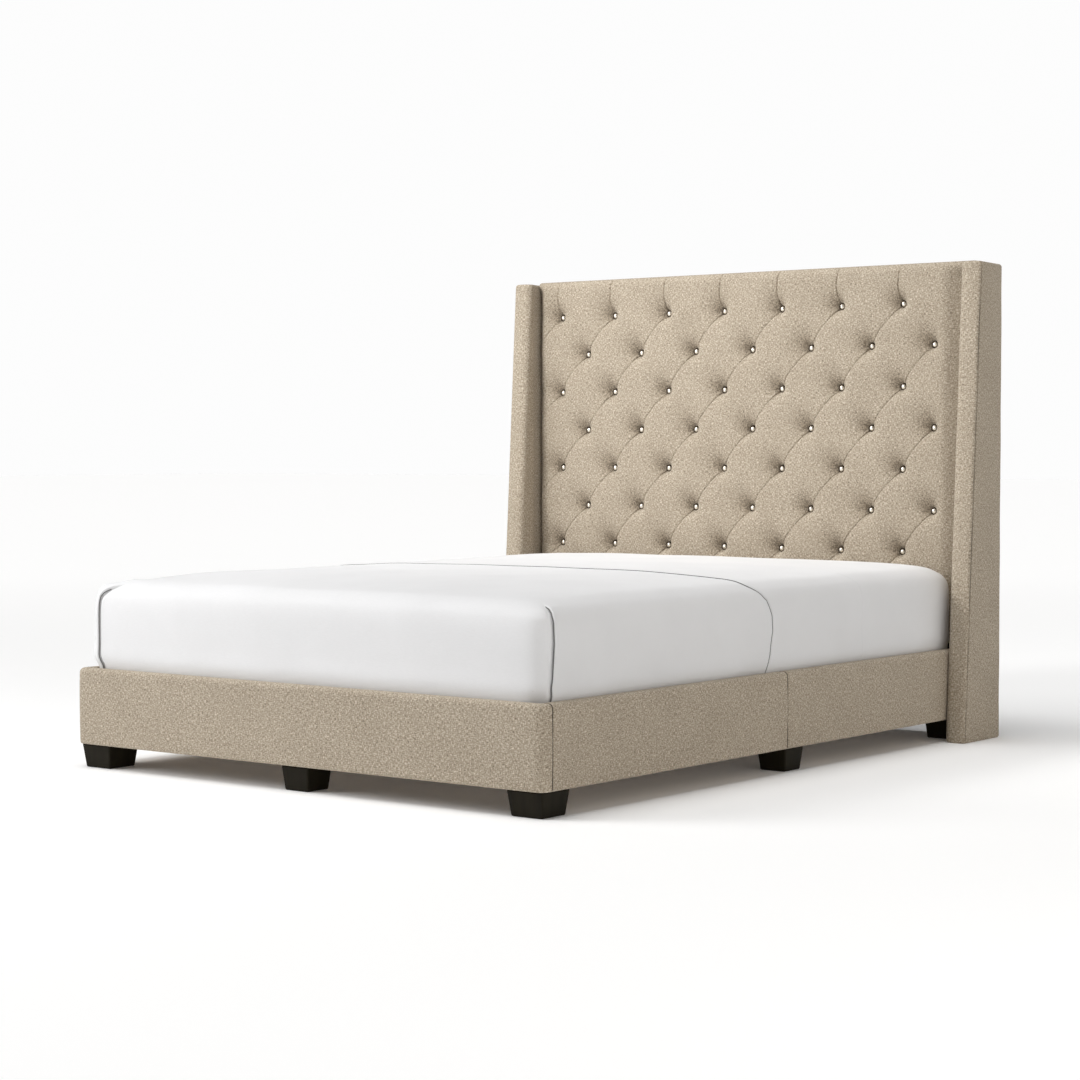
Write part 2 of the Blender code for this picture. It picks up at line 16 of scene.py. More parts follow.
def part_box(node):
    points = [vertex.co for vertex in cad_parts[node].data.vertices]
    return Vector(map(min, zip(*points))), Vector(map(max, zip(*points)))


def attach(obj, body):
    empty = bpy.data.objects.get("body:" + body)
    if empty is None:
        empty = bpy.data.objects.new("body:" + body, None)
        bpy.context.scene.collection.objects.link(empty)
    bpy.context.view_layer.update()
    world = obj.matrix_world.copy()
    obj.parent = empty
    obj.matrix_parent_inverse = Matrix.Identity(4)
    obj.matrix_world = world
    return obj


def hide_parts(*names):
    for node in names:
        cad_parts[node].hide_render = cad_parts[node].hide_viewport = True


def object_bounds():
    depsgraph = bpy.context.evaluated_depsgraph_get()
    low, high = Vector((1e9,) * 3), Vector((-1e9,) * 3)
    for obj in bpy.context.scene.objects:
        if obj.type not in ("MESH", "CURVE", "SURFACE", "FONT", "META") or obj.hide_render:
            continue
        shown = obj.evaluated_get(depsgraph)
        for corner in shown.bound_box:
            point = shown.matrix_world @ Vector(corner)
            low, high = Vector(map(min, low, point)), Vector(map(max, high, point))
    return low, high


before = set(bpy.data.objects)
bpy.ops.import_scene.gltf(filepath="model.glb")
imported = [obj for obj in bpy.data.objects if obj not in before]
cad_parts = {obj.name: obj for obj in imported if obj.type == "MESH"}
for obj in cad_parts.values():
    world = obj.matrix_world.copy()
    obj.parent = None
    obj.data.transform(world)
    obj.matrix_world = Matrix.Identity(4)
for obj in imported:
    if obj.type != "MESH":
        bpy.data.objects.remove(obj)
cad_low, cad_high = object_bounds()

FRAME_BODY, MATTRESS_BODY = "bed_frame", "mattress"
FOOT = cad_low.y
SIDES = (("left", -1), ("right", 1))
TAU = 2 * math.pi


# --- Mesh building


def new_mesh(name, points, faces):
    mesh = bpy.data.meshes.new(name)
    mesh.from_pydata(np.reshape(points, (-1, 3)).tolist(), [], faces)
    return mesh


def placed(name, data):
    """A new object in the scene, made of a mesh, a light or a camera."""
    obj = bpy.data.objects.new(name, data)
    bpy.context.scene.collection.objects.link(obj)
    return obj


def evaluated(obj):
    """The object's mesh as its modifiers leave it. The modifiers then come off."""
    graph = bpy.context.evaluated_depsgraph_get()
    mesh = bpy.data.meshes.new_from_object(obj.evaluated_get(graph))
    obj.modifiers.clear()
    return mesh


def vectors(items, key):
    """One vector of each of a mesh's items, as an array."""
    flat = np.empty(len(items) * 3, np.float32)
    items.foreach_get(key, flat)
    return flat.reshape(-1, 3).astype(float)


def lines_mesh(name, points, around, along, closed=True, caps=True):
    """A surface through rows of points, with a UV map "weave" in metres.

    points is (rows, columns, 3). around holds the columns' cloth distances and along the rows'. A
    closed surface joins its last column to its first, and flat caps fill the two ends.
    """
    rows, columns = points.shape[:2]
    spans = columns if closed else columns - 1
    row, column = np.meshgrid(np.arange(rows - 1), np.arange(spans), indexing="ij")
    corner_rows = np.stack([row, row, row + 1, row + 1], axis=-1).reshape(-1, 4)
    corner_columns = np.stack([column, column + 1, column + 1, column], axis=-1).reshape(-1, 4)
    quads = corner_rows * columns + corner_columns % columns
    faces = quads.tolist()
    if caps:
        faces += [list(range(columns))[::-1], list(range((rows - 1) * columns, rows * columns))]
    mesh = new_mesh(name, points, faces)

    around = np.broadcast_to(around, (rows, columns))
    along = np.broadcast_to(np.reshape(along, (rows, -1)), (rows, columns))
    if closed:
        closing = np.linalg.norm(points[:, 0] - points[:, -1], axis=-1)
        around = np.column_stack([around, around[:, -1] + closing])
        along = np.column_stack([along, along[:, -1]])
    cloth = np.stack([along[corner_rows, corner_columns], around[corner_rows, corner_columns]], axis=-1)
    weave = [cloth.reshape(-1, 2)]
    if caps:
        for ring in (points[0, ::-1], points[-1]):
            widest = np.argsort(np.ptp(ring, axis=0))[1:]
            weave.append(ring[:, widest])
    flat = np.concatenate(weave).astype(np.float32).ravel()
    mesh.uv_layers.new(name="weave").data.foreach_set("uv", flat)
    mesh.shade_smooth()
    return mesh


def faced_out(mesh, joined=None):
    """The mesh with its faces turned outwards, and points closer than joined made one."""
    bm = bmesh.new()
    bm.from_mesh(mesh)
    if joined:
        bmesh.ops.remove_doubles(bm, verts=bm.verts, dist=joined)
    bmesh.ops.recalc_face_normals(bm, faces=bm.faces)
    bm.to_mesh(mesh)
    bm.free()
    return mesh


def piece(name, mesh, material, body, slot, *stands_for):
    """An object of the visual model: it rides on a body and may stand for CAD nodes."""
    obj = placed(name, mesh)
    mesh.materials.append(material)
    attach(obj, body)
    if stands_for:
        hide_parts(*stands_for)
    return obj


def run_lengths(points):
    """The distance along a row of points to each of them."""
    steps = np.linalg.norm(np.diff(points, axis=0), axis=1)
    return np.concatenate([[0.0], np.cumsum(steps)])


def arc(centre, radius, start, end, steps):
    """Points on an arc, both ends included, with its angles in degrees."""
    angles = np.radians(np.linspace(start, end, steps + 1))
    return [(centre[0] + radius * math.cos(a), centre[1] + radius * math.sin(a)) for a in angles]


def spaced(outline, step):
    """A closed outline with extra points, so that no two neighbours are further apart than step."""
    points = []
    for near, far in zip(outline, outline[1:] + outline[:1]):
        near, far = np.array(near), np.array(far)
        count = max(1, math.ceil(np.linalg.norm(far - near) / step))
        points += [near + (far - near) * i / count for i in range(count)]
    return np.array(points)


def ripple(a, b, wavelength, seed, waves=7):
    """Smooth, uneven waves over two coordinates, within about 1 either way."""
    draw = np.random.default_rng(seed)
    total = np.zeros(np.broadcast(a, b).shape)
    for _ in range(waves):
        angle, phase = draw.uniform(0, TAU, 2)
        number = TAU / (wavelength * draw.uniform(0.7, 1.5))
        total = total + np.sin(number * (a * math.cos(angle) + b * math.sin(angle)) + phase)
    return total / math.sqrt(waves)


def eased(x):
    """0 below 0, 1 above 1, and smooth between."""
    x = np.clip(x, 0.0, 1.0)
    return x * x * (3 - 2 * x)


def bell(distance, width):
    """1 where the distance is 0, and smoothly down to almost nothing at two widths."""
    return np.exp(-(distance / width) ** 2)


# --- Materials


class Shader:
    """A material's node tree, built a node at a time."""

    def __init__(self, name, roughness, **sockets):
        self.material = bpy.data.materials.new(name)
        self.material.use_nodes = True
        self.tree = self.material.node_tree
        self.surface = self.tree.nodes["Principled BSDF"]
        self.surface.inputs["Roughness"].default_value = roughness
        for socket, value in sockets.items():
            self.surface.inputs[socket.replace("_", " ")].default_value = value

    def add(self, kind, **settings):
        made = self.tree.nodes.new(kind)
        for key, value in settings.items():
            if key in made.bl_rna.properties:
                setattr(made, key, value)
            else:
                made.inputs[key.replace("_", " ")].default_value = value
        return made

    def link(self, source, target):
        self.tree.links.new(source, target)

    def weave_space(self, scale):
        """The cloth's own metres, stretched: by one number, or by one for each axis."""
        uv = self.add("ShaderNodeUVMap", uv_map="weave")
        return self.scaled(uv.outputs["UV"], scale)

    def object_space(self, scale):
        return self.scaled(self.add("ShaderNodeTexCoord").outputs["Object"], scale)

    def scaled(self, source, scale):
        stretch = self.add("ShaderNodeVectorMath", operation="MULTIPLY")
        self.link(source, stretch.inputs[0])
        stretch.inputs[1].default_value = tuple(np.broadcast_to(scale, 3))
        return stretch.outputs["Vector"]

    def noise(self, space, scale=1.0, detail=2.0, rough=0.5):
        made = self.add("ShaderNodeTexNoise", Scale=scale, Detail=detail, Roughness=rough)
        self.link(space, made.inputs["Vector"])
        return made.outputs["Fac"]

    def maths(self, operation, first, second=0.0):
        made = self.add("ShaderNodeMath", operation=operation)
        for socket, value in zip(made.inputs, (first, second)):
            if isinstance(value, (int, float)):
                socket.default_value = value
            else:
                self.link(value, socket)
        return made.outputs["Value"]

    def weighted(self, *terms):
        """The sum of (output, weight) pairs."""
        total = None
        for output, weight in terms:
            part = self.maths("MULTIPLY", output, weight)
            total = part if total is None else self.maths("ADD", total, part)
        return total

    def ramp(self, source, *stops):
        """Colours between (position, colour) stops."""
        made = self.add("ShaderNodeValToRGB")
        line = made.color_ramp
        while len(line.elements) < len(stops):
            line.elements.new(0.5)
        for element, (position, colour) in zip(line.elements, stops):
            element.position = position
            element.color = (*colour, 1.0)
        self.link(source, made.inputs["Fac"])
        return made.outputs["Color"]

    def colour(self, output):
        self.link(output, self.surface.inputs["Base Color"])

    def roughness(self, source, low, high):
        made = self.add("ShaderNodeMapRange", To_Min=low, To_Max=high)
        self.link(source, made.inputs["Value"])
        self.link(made.outputs["Result"], self.surface.inputs["Roughness"])

    def bump(self, height, distance, strength=1.0):
        made = self.add("ShaderNodeBump", Distance=distance, Strength=strength)
        self.link(height, made.inputs["Height"])
        self.link(made.outputs["Normal"], self.surface.inputs["Normal"])

    def threads(self, pitch):
        """The height of a plain weave: each thread passes over one and under the next."""
        turn = math.pi / pitch
        split = self.add("ShaderNodeSeparateXYZ")
        self.link(self.weave_space((turn, turn, 0.0)), split.inputs[0])
        across = self.maths("SINE", split.outputs["X"])
        down = self.maths("SINE", split.outputs["Y"])
        return self.maths("MULTIPLY", across, down)


def linen():
    """Heathered greige linen: uneven threads both ways, pale and dark flecks, and a plain weave.

    Where the painted shade attribute is 1, beside a button in its dimple, the colour is darkened as painted
    shade.
    """
    cloth = Shader("greige_linen", 0.92, Sheen_Weight=0.10, Sheen_Roughness=0.5, Specular_IOR_Level=0.25)
    warp = cloth.noise(cloth.weave_space((460.0, 130.0, 1.0)), detail=1.0)
    weft = cloth.noise(cloth.weave_space((130.0, 460.0, 1.0)), detail=1.0)
    slub = cloth.noise(cloth.weave_space((300.0, 20.0, 1.0)), detail=1.0)
    fleck = cloth.noise(cloth.weave_space(700.0), detail=0.0)
    cloud = cloth.noise(cloth.weave_space(7.0), detail=2.0)
    # Painted shade: the colour is darker where the painted shade attribute is high, on the upper left of
    # each button.
    painted_shade = cloth.add("ShaderNodeAttribute", attribute_name="painted_shade").outputs["Fac"]
    mixed = cloth.weighted(
        (warp, 0.37), (weft, 0.37), (slub, 0.08), (fleck, 0.14), (cloud, 0.04), (painted_shade, -0.125))
    cloth.colour(cloth.ramp(
        mixed,
        (0.38, (0.185, 0.148, 0.106)),
        (0.46, (0.348, 0.289, 0.217)),
        (0.54, (0.453, 0.386, 0.299)),
        (0.62, (0.700, 0.624, 0.510)),
    ))
    weave = cloth.threads(0.0011)
    cloth.bump(cloth.weighted((weave, 0.25), (mixed, 4.0)), 0.0005, 0.8)
    return cloth.material


def cotton():
    """White percale: a fine weave, and slight unevenness where it has been pressed."""
    cloth = Shader("white_cotton", 0.85, Sheen_Weight=0.08, Sheen_Roughness=0.4, Specular_IOR_Level=0.3)
    cloud = cloth.noise(cloth.object_space(5.0), detail=3.0)
    thread = cloth.noise(cloth.object_space((90.0, 700.0, 700.0)), detail=1.0)
    mixed = cloth.weighted((cloud, 0.6), (thread, 0.4))
    cloth.colour(cloth.ramp(mixed, (0.3, (0.735, 0.735, 0.742)), (0.7, (0.785, 0.785, 0.793))))
    soft = cloth.noise(cloth.object_space(14.0), detail=3.0)
    weave = cloth.noise(cloth.object_space(1300.0), detail=0.0)
    cloth.bump(cloth.weighted((weave, 0.06), (soft, 1.0)), 0.0012, 0.5)
    return cloth.material


def ticking():
    """The mattress's own cover: off-white knit with a fine rib."""
    cloth = Shader("mattress_ticking", 0.9, Sheen_Weight=0.1)
    cloud = cloth.noise(cloth.object_space(6.0), detail=3.0)
    cloth.colour(cloth.ramp(cloud, (0.35, (0.66, 0.655, 0.64)), (0.65, (0.76, 0.755, 0.745))))
    cloth.bump(cloth.noise(cloth.object_space(260.0), detail=1.0), 0.0008, 0.5)
    return cloth.material


def speckled(name, roughness, scale, detail, dark, light, spread=None, bump=None, **sockets):
    """A material with one even noise: dark and light are its (position, colour) stops."""
    made = Shader(name, roughness, **sockets)
    noise = made.noise(made.object_space(scale), detail=detail)
    made.colour(made.ramp(noise, dark, light))
    if spread:
        made.roughness(noise, *spread)
    if bump:
        made.bump(noise, *bump)
    return made.material


def dust_cloth():
    """Black spun-bonded cloth with its pressed dimples."""
    dark, light = (0.35, (0.012, 0.012, 0.013)), (0.65, (0.040, 0.040, 0.042))
    return speckled("black_dust_cloth", 0.95, 300.0, 3.0, dark, light, bump=(0.0008, 0.6))


def wood(name, dark, light, along, roughness, shine=0.5):
    """Grain that runs along one axis, in the object's own metres."""
    grain = Shader(name, roughness, Specular_IOR_Level=shine)
    scale = tuple(1.6 if axis == along else 34.0 for axis in "XYZ")
    fine_scale = tuple(9.0 if axis == along else 420.0 for axis in "XYZ")
    broad = grain.noise(grain.object_space(scale), detail=5.0, rough=0.6)
    fine = grain.noise(grain.object_space(fine_scale), detail=2.0)
    mixed = grain.weighted((broad, 0.65), (fine, 0.35))
    grain.colour(grain.ramp(mixed, (0.35, dark), (0.62, light)))
    grain.roughness(fine, roughness - 0.08, roughness + 0.10)
    grain.bump(mixed, 0.0006, 0.5)
    return grain.material


def black_steel():
    """Powder-coated steel with a fine orange-peel skin."""
    dark, light = (0.3, (0.014, 0.014, 0.015)), (0.7, (0.030, 0.030, 0.032))
    return speckled("black_powder_coat", 0.45, 700.0, 1.0, dark, light, (0.38, 0.55), (0.0004, 0.4))


def button_metal(name, dark, light, roughness):
    """Nickel-like metal, faintly clouded by handling."""
    spread = (roughness * 0.8, roughness * 1.3)
    return speckled(name, roughness, 240.0, 2.0, (0.3, dark), (0.7, light), spread, Metallic=1.0)


def thread_and_shadow_line_material(name, dark, light):
    """Twisted thread in one tone; the same material makes the grey cords of painted shadow on the flat
    sheet.
    """
    return speckled(name, 0.8, 900.0, 1.0, (0.3, dark), (0.7, light), Specular_IOR_Level=0.2)


LINEN = linen()
COTTON = cotton()
THREAD = thread_and_shadow_line_material("seam_thread", (0.110, 0.085, 0.060), (0.210, 0.168, 0.124))
SEAM_CORD = thread_and_shadow_line_material("seam_cord", (0.045, 0.035, 0.025), (0.085, 0.068, 0.050))
# Grey cords along the flat sheet's edge and corner folds: painted shadow for the shadow lines there.
SHADOW_LINE_THREAD = thread_and_shadow_line_material("grey_shadow_line_thread", (0.120, 0.118, 0.116), (0.210, 0.208, 0.206))


# --- Stitches

STITCH_PITCH = 0.0048
STITCH_LENGTH = 0.0034
STITCH_RADIUS = 0.00045
STITCH_SIDES = 6
CORD_SIDES = 8
# The rings of one stitch: (share of its length, share of its radius).
STITCH_RINGS = ((-0.5, 0.35), (-0.3, 1.0), (0.3, 1.0), (0.5, 0.35))


def stitch_row(path, normal):
    """Short rounded stitches along a path of points, lying on a surface with that normal."""
    path = np.array(path, float)
    at = run_lengths(path)
    centres = np.arange(STITCH_PITCH, at[-1] - STITCH_PITCH, STITCH_PITCH)
    middle, ahead = (np.stack([np.interp(centres + step, at, path[:, i]) for i in range(3)], axis=1)
                     for step in (0.0, 0.001))
    ahead -= middle
    ahead /= np.linalg.norm(ahead, axis=1)[:, None]
    normal = np.broadcast_to(np.array(normal, float), middle.shape)
    side = np.cross(ahead, normal)
    rings = []
    for share, swell in STITCH_RINGS:
        centre = middle + ahead * share * STITCH_LENGTH
        ring = []
        for angle in np.arange(STITCH_SIDES) * TAU / STITCH_SIDES:
            spoke = math.cos(angle) * side + math.sin(angle) * normal
            ring.append(centre + spoke * STITCH_RADIUS * swell)
        rings.append(np.stack(ring, axis=1))
    return np.stack(rings, axis=1)


def stitches(name, rows):
    """One piece with every stitch of some rows, each a closed solid of its own."""
    points, faces = [], []
    last = (len(STITCH_RINGS) - 1) * STITCH_SIDES
    for stitch in [stitch for row in rows for stitch in row]:
        base = len(points)
        points += stitch.reshape(-1, 3).tolist()
        for low in range(base, base + last, STITCH_SIDES):
            high = low + STITCH_SIDES
            for i in range(STITCH_SIDES):
                j = (i + 1) % STITCH_SIDES
                faces.append((low + i, low + j, high + j, high + i))
        faces.append(tuple(base + i for i in reversed(range(STITCH_SIDES))))
        faces.append(tuple(base + last + i for i in range(STITCH_SIDES)))
    return piece(name, faced_out(new_mesh(name, points, faces)), THREAD, FRAME_BODY, "linen")


def line(name, path, normals, radius, material, body, slot):
    """A fine round cord along a path on a surface with those normals."""
    normals = np.broadcast_to(normals, path.shape)
    keep = np.concatenate([[True], np.linalg.norm(np.diff(path, axis=0), axis=1) > 1e-5])
    path, normals = path[keep], normals[keep]
    side = np.cross(np.gradient(path, axis=0), normals)
    side /= np.linalg.norm(side, axis=1)[:, None]
    turn = np.arange(CORD_SIDES)[:, None] * TAU / CORD_SIDES
    spokes = np.cos(turn) * side[:, None] + np.sin(turn) * normals[:, None]
    mesh = lines_mesh(name, path[:, None] + radius * spokes, turn[:, 0], run_lengths(path))
    return piece(name, faced_out(mesh), material, body, slot)


# --- Tufted headboard

BUTTONS_IN_ROW = 7
BUTTON_ROWS = 8
BUTTON_PITCH = 0.2152
ROW_PITCH = 0.1250
TOP_ROW = 1.300
FIRST_BUTTON = -0.7165
ROW_SHIFT = 0.106
BUTTON_SEAT = 0.006
DIMPLE_DEPTH = 0.0285
DIMPLE_REACH = 0.022
DIMPLE_LEAN = math.radians(152)
# The direction from each button in which the painted dimple shade reaches furthest: the upper left, away
# from the light.
PAINTED_SHADE_LEAN = math.radians(130)
CREASE_HEIGHT = 0.0016
PLEAT_BOW = 0.0052
TOP_PLEAT_BOW = 0.011
PLEAT_WIDTH = 0.0021
PLEAT_DEPTH = 0.0042
LAP_HEIGHT = 0.0022
HOLLOW_DEPTH = 0.0018
HOLLOW_WIDTH = 0.020
UNEVENNESS = 0.0006
FACE_CLEARANCE = 0.0015
TOP_EDGE_RADIUS = 0.026
BACK_EDGE_RADIUS = 0.008
COVER_COLUMNS = 380
COVER_ROWS = 225


def button_places():
    """Each button's X and Z, a row at a time from the top."""
    for row in range(BUTTON_ROWS):
        for column in range(BUTTONS_IN_ROW):
            yield FIRST_BUTTON + ROW_SHIFT * (row % 2) + column * BUTTON_PITCH, TOP_ROW - row * ROW_PITCH


def round_button(x, z, button_x, button_z, reach):
    """Which points lie near a button, and their distances and directions from it."""
    near = (np.abs(x - button_x) < reach) & (np.abs(z - button_z) < reach)
    away_x, away_z = x[near] - button_x, z[near] - button_z
    return near, np.hypot(away_x, away_z), np.arctan2(away_z, away_x)


def rows_at(z):
    """Whether each point is above the buttons, its row's number modulo 2, how far down it lies
    between that row and the next as a share, and its distance from the nearer of the two."""
    rows_down = (TOP_ROW - z) / ROW_PITCH
    row = np.floor(rows_down)
    share = rows_down - row
    return rows_down < 0, row % 2, share, np.minimum(share, 1 - share) * ROW_PITCH


def pleat_lines(x, z, top):
    """Each point's signed distance right of its nearest pleat, and how deep that pleat is there."""
    above, odd, share, near_button = rows_at(z)

    # Pleats run down and to the left from each button to the next row, bowing up and to the left.
    bow = PLEAT_BOW * 4 * share * (1 - share)
    start = FIRST_BUTTON + ROW_SHIFT * odd
    run = np.where(odd == 1, ROW_SHIFT, BUTTON_PITCH - ROW_SHIFT)
    turns = (x + run * share + bow - start) / BUTTON_PITCH
    nearest = np.round(turns)
    sewn = (nearest >= 0) & (nearest < BUTTONS_IN_ROW)
    depth = np.where(sewn, 0.60 + 0.40 * np.exp(-near_button / 0.030), 0.0)

    # Above the top row they run straight up to the top edge.
    climb = np.clip((z - TOP_ROW) / (top - TOP_ROW), 0.0, 1.0)
    turns_up = (x + TOP_PLEAT_BOW * np.sin(math.pi * climb ** 0.8) - FIRST_BUTTON) / BUTTON_PITCH
    nearest_up = np.round(turns_up)
    sewn_up = (nearest_up >= 0) & (nearest_up < BUTTONS_IN_ROW)
    depth_up = np.where(sewn_up, 0.95 - 0.35 * climb, 0.0)

    off = np.where(above, turns_up - nearest_up, turns - nearest) * BUTTON_PITCH
    return off, np.where(above, depth_up, depth)


def tuft_height(x, z, top):
    """How far the cover stands out from its highest plane, as a negative number, at each point."""
    off, depth = pleat_lines(x, z, top)
    # The cloth to the right of a pleat laps over it, so that side stands a little higher.
    groove = PLEAT_DEPTH * bell(off, PLEAT_WIDTH)
    shoulder = np.where(off > 0, np.exp(-off / 0.006), np.exp(off / 0.018))
    height = -depth * (groove + LAP_HEIGHT * shoulder)

    # The other diagonals only show as soft hollows, deepest by the buttons.
    above, odd, share, near_button = rows_at(z)
    run = np.where(odd == 1, BUTTON_PITCH - ROW_SHIFT, ROW_SHIFT)
    crossing = (x - run * share - FIRST_BUTTON - ROW_SHIFT * odd) / BUTTON_PITCH
    cross_off = (crossing - np.round(crossing)) * BUTTON_PITCH
    hollow = HOLLOW_DEPTH * bell(cross_off, HOLLOW_WIDTH) * (0.35 + np.exp(-near_button / 0.022))
    height = height - np.where(above, 0.0, hollow)

    draw = np.random.default_rng(11)
    for button_x, button_z in button_places():
        phase, count = draw.uniform(0, TAU), draw.integers(7, 10)
        near, far, angle = round_button(x, z, button_x, button_z, 0.15)
        lean = (1 + np.cos(angle - DIMPLE_LEAN)) / 2
        reach = DIMPLE_REACH * (0.42 + 1.08 * lean ** 1.5)
        dimple = DIMPLE_DEPTH * np.exp(-(np.maximum(far - BUTTON_SEAT, 0.0) / reach) ** 1.1)
        ring = bell(far - 0.020, 0.012)
        height[near] += CREASE_HEIGHT * np.cos(angle * count + phase) * ring * lean - dimple
    return np.maximum(height, -DIMPLE_DEPTH - 0.004) + UNEVENNESS * ripple(x, z, 0.11, 3)


def painted_dimple_shade(x, z):
    """How much painted shade darkens the cloth at each point: 1 beside a button, on its upper left, where
    the dimple faces away from the light.
    """
    painted_shade = np.zeros(x.shape)
    for button_x, button_z in button_places():
        near, far, angle = round_button(x, z, button_x, button_z, 0.10)
        lean = (1 + np.cos(angle - PAINTED_SHADE_LEAN)) / 2
        reach = DIMPLE_REACH * (0.40 + 1.15 * lean ** 2)
        fade = np.exp(-(np.maximum(far - BUTTON_SEAT, 0.0) / reach) ** 1.3)
        painted_shade[near] = np.maximum(painted_shade[near], fade * (0.30 + 0.70 * lean))
    return painted_shade


def drawn_in(distance, reach, squeeze):
    """Where a point lies once the grid is squeezed towards a line: distance is signed."""
    share = np.minimum(np.abs(distance) / reach, 1.0)
    return distance * (squeeze + (1 - squeeze) * share ** 2)


def headboard_cover():
    """The tufted cover: over the front in fine detail, over the top and down behind it."""
    low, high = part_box("headboard_tufted_pad")
    panel_low, panel_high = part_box("headboard_panel")
    face, back = low.y + FACE_CLEARANCE, high.y
    top, bottom = high.z, low.z
    edge, rear = TOP_EDGE_RADIUS, BACK_EDGE_RADIUS
    behind = panel_low.y - 0.0005
    panel_top = panel_high.z + 0.0005
    front_z = np.linspace(bottom + 0.012, top - edge, COVER_ROWS)
    to_row = (front_z - TOP_ROW) / ROW_PITCH
    to_row = (to_row - np.round(to_row)) * ROW_PITCH
    near_rows = front_z < TOP_ROW + ROW_PITCH / 2
    front_z += np.where(near_rows, drawn_in(to_row, ROW_PITCH / 2, 0.5) - to_row, 0.0)
    outline = [(behind, bottom), (face + 0.020, bottom), (face + 0.006, bottom + 0.003)]
    first_front = len(outline)
    outline += [(face, z) for z in front_z]
    outline += arc((face + edge, top - edge), edge, 180, 90, 9)[1:]
    last_front = len(outline)
    outline += [(y, top) for y in np.linspace(face + edge, back - rear, 9)[1:]]
    outline += arc((back - rear, top - rear), rear, 90, 0, 4)[1:]
    outline += [(back, panel_top), (behind, panel_top)]
    outline = np.array(outline)

    xs = np.linspace(low.x, high.x, COVER_COLUMNS)
    x, z = np.meshgrid(xs, outline[:, 1], indexing="ij")
    y = np.broadcast_to(outline[:, 0], x.shape).copy()
    front = np.zeros(len(outline), bool)
    front[first_front:last_front] = True
    off, _depth = pleat_lines(x, z, top)
    margin = eased(np.minimum(high.x - x, x - low.x) / 0.03)
    x = x + np.where(front, (drawn_in(off, BUTTON_PITCH / 2, 0.25) - off) * margin, 0.0)

    # Beside the wings the cover rolls back: over a broad band on the right, tightly on the left.
    side = np.minimum(high.x - x, x - low.x)
    broad, tight = 0.022 * eased((0.098 - side) / 0.072), 0.024 * eased((0.020 - side) / 0.018)
    roll = np.where(x > 0, broad, tight) * (0.10 + 0.90 * eased((top - z) / 0.050))
    fade = eased((face + edge - y) / (edge * 0.9))
    y += np.where(front, -tuft_height(x, z, top) * fade, 0.0) + np.where(y < behind - 0.01, roll, 0.0)
    points = np.stack([x, y, z], axis=-1)
    mesh = faced_out(lines_mesh("headboard_cover", points, run_lengths(outline), x))
    # Painted shade in the dimples, kept on the mesh for the linen's colour.
    painted_shade = np.where(front, painted_dimple_shade(x, z), 0.0)
    mesh.attributes.new("painted_shade", "FLOAT", "POINT").data.foreach_set("value", painted_shade.ravel())
    cover = piece("headboard_cover", mesh, LINEN, FRAME_BODY, "linen", "headboard_tufted_pad")
    return face


def turned(name, profile, sides):
    """A solid turned about -Y from (radius, height) points."""
    angles = np.arange(sides) * TAU / sides
    rings = [[(r * math.cos(a), -h, r * math.sin(a)) for a in angles] for r, h in profile]
    points = np.array(rings)
    return faced_out(lines_mesh(name, points, np.arange(sides), np.arange(len(profile))))


def headboard_buttons(face):
    """A bright domed button in a dark rim, at the bottom of each dimple."""
    dome = [(0.0077, 0.000), (0.0077, 0.0044), (0.0071, 0.0060), (0.0055, 0.0073),
            (0.0034, 0.0081), (0.0016, 0.0085), (0.0003, 0.0086)]
    rim = [(0.0079, -0.001), (0.0104, -0.001), (0.0113, 0.0006), (0.0113, 0.0028), (0.0105, 0.0044),
           (0.0091, 0.0050), (0.0079, 0.0044), (0.0079, -0.001)]
    meshes = {"button": turned("button_dome", dome, 20), "button_rim": turned("button_rim", rim, 20)}
    bright = button_metal("button_nickel", (0.84, 0.78, 0.67), (0.97, 0.92, 0.82), 0.30)
    dark = button_metal("button_rim", (0.022, 0.016, 0.011), (0.050, 0.038, 0.027), 0.38)
    meshes["button"].materials.append(bright)
    meshes["button_rim"].materials.append(dark)
    for number, (x, z) in enumerate(button_places()):
        row, column = divmod(number, BUTTONS_IN_ROW)
        for word, mesh in meshes.items():
            obj = placed(f"{word}_{row + 1}_{column + 1}", mesh)
            obj.location = (x, face + DIMPLE_DEPTH - 0.0020, z)
            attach(obj, FRAME_BODY)


# --- Wings

WING_LEAN = 0.084
WING_TOP_RADIUS = 0.010
INNER_CORNER = 0.018
OUTER_CORNER = 0.006
BACK_CORNER = 0.005
WING_SPACING = 0.006
SEAM_GROOVE = 0.0042
SEAM_RIDGE = 0.0008
SIDE_SWELL = 0.0016
NOSE = 0.0028
INNER_SWELL = 0.0072
TOP_FALL = 0.003
SEAM_STEPS = (0.0008, 0.0016, 0.0024, 0.0032, 0.0042, 0.0056, 0.0080)
# A ring well away from the rounded ends, which sets how the points of all the rings are spread.
MODEL_RING = 30


def wing_ring(height, top, front, back, thickness):
    """The wing's outline at a height, as (depth from its inner face, Y), drawn in at both ends."""
    inset = 0.003 * (1 - min(1.0, height / 0.006)) ** 2
    rise = np.clip((height - top) / WING_TOP_RADIUS + 1, 0.0, 1.0)
    inset += 0.008 * (1 - math.sqrt(1 - rise ** 2))
    x0, x1, y0, y1 = inset, thickness - inset, front + inset, back - inset * 0.5
    ring = arc((x0 + INNER_CORNER, y0 + INNER_CORNER), INNER_CORNER, 180, 270, 8)
    ring += arc((x1 - OUTER_CORNER, y0 + OUTER_CORNER), OUTER_CORNER, 270, 360, 6)
    ring += [(x1, y0 + OUTER_CORNER + past) for past in SEAM_STEPS]
    ring += arc((x1 - BACK_CORNER, y1 - BACK_CORNER), BACK_CORNER, 0, 90, 4)
    ring += arc((x0 + BACK_CORNER, y1 - BACK_CORNER), BACK_CORNER, 90, 180, 4)
    return ring


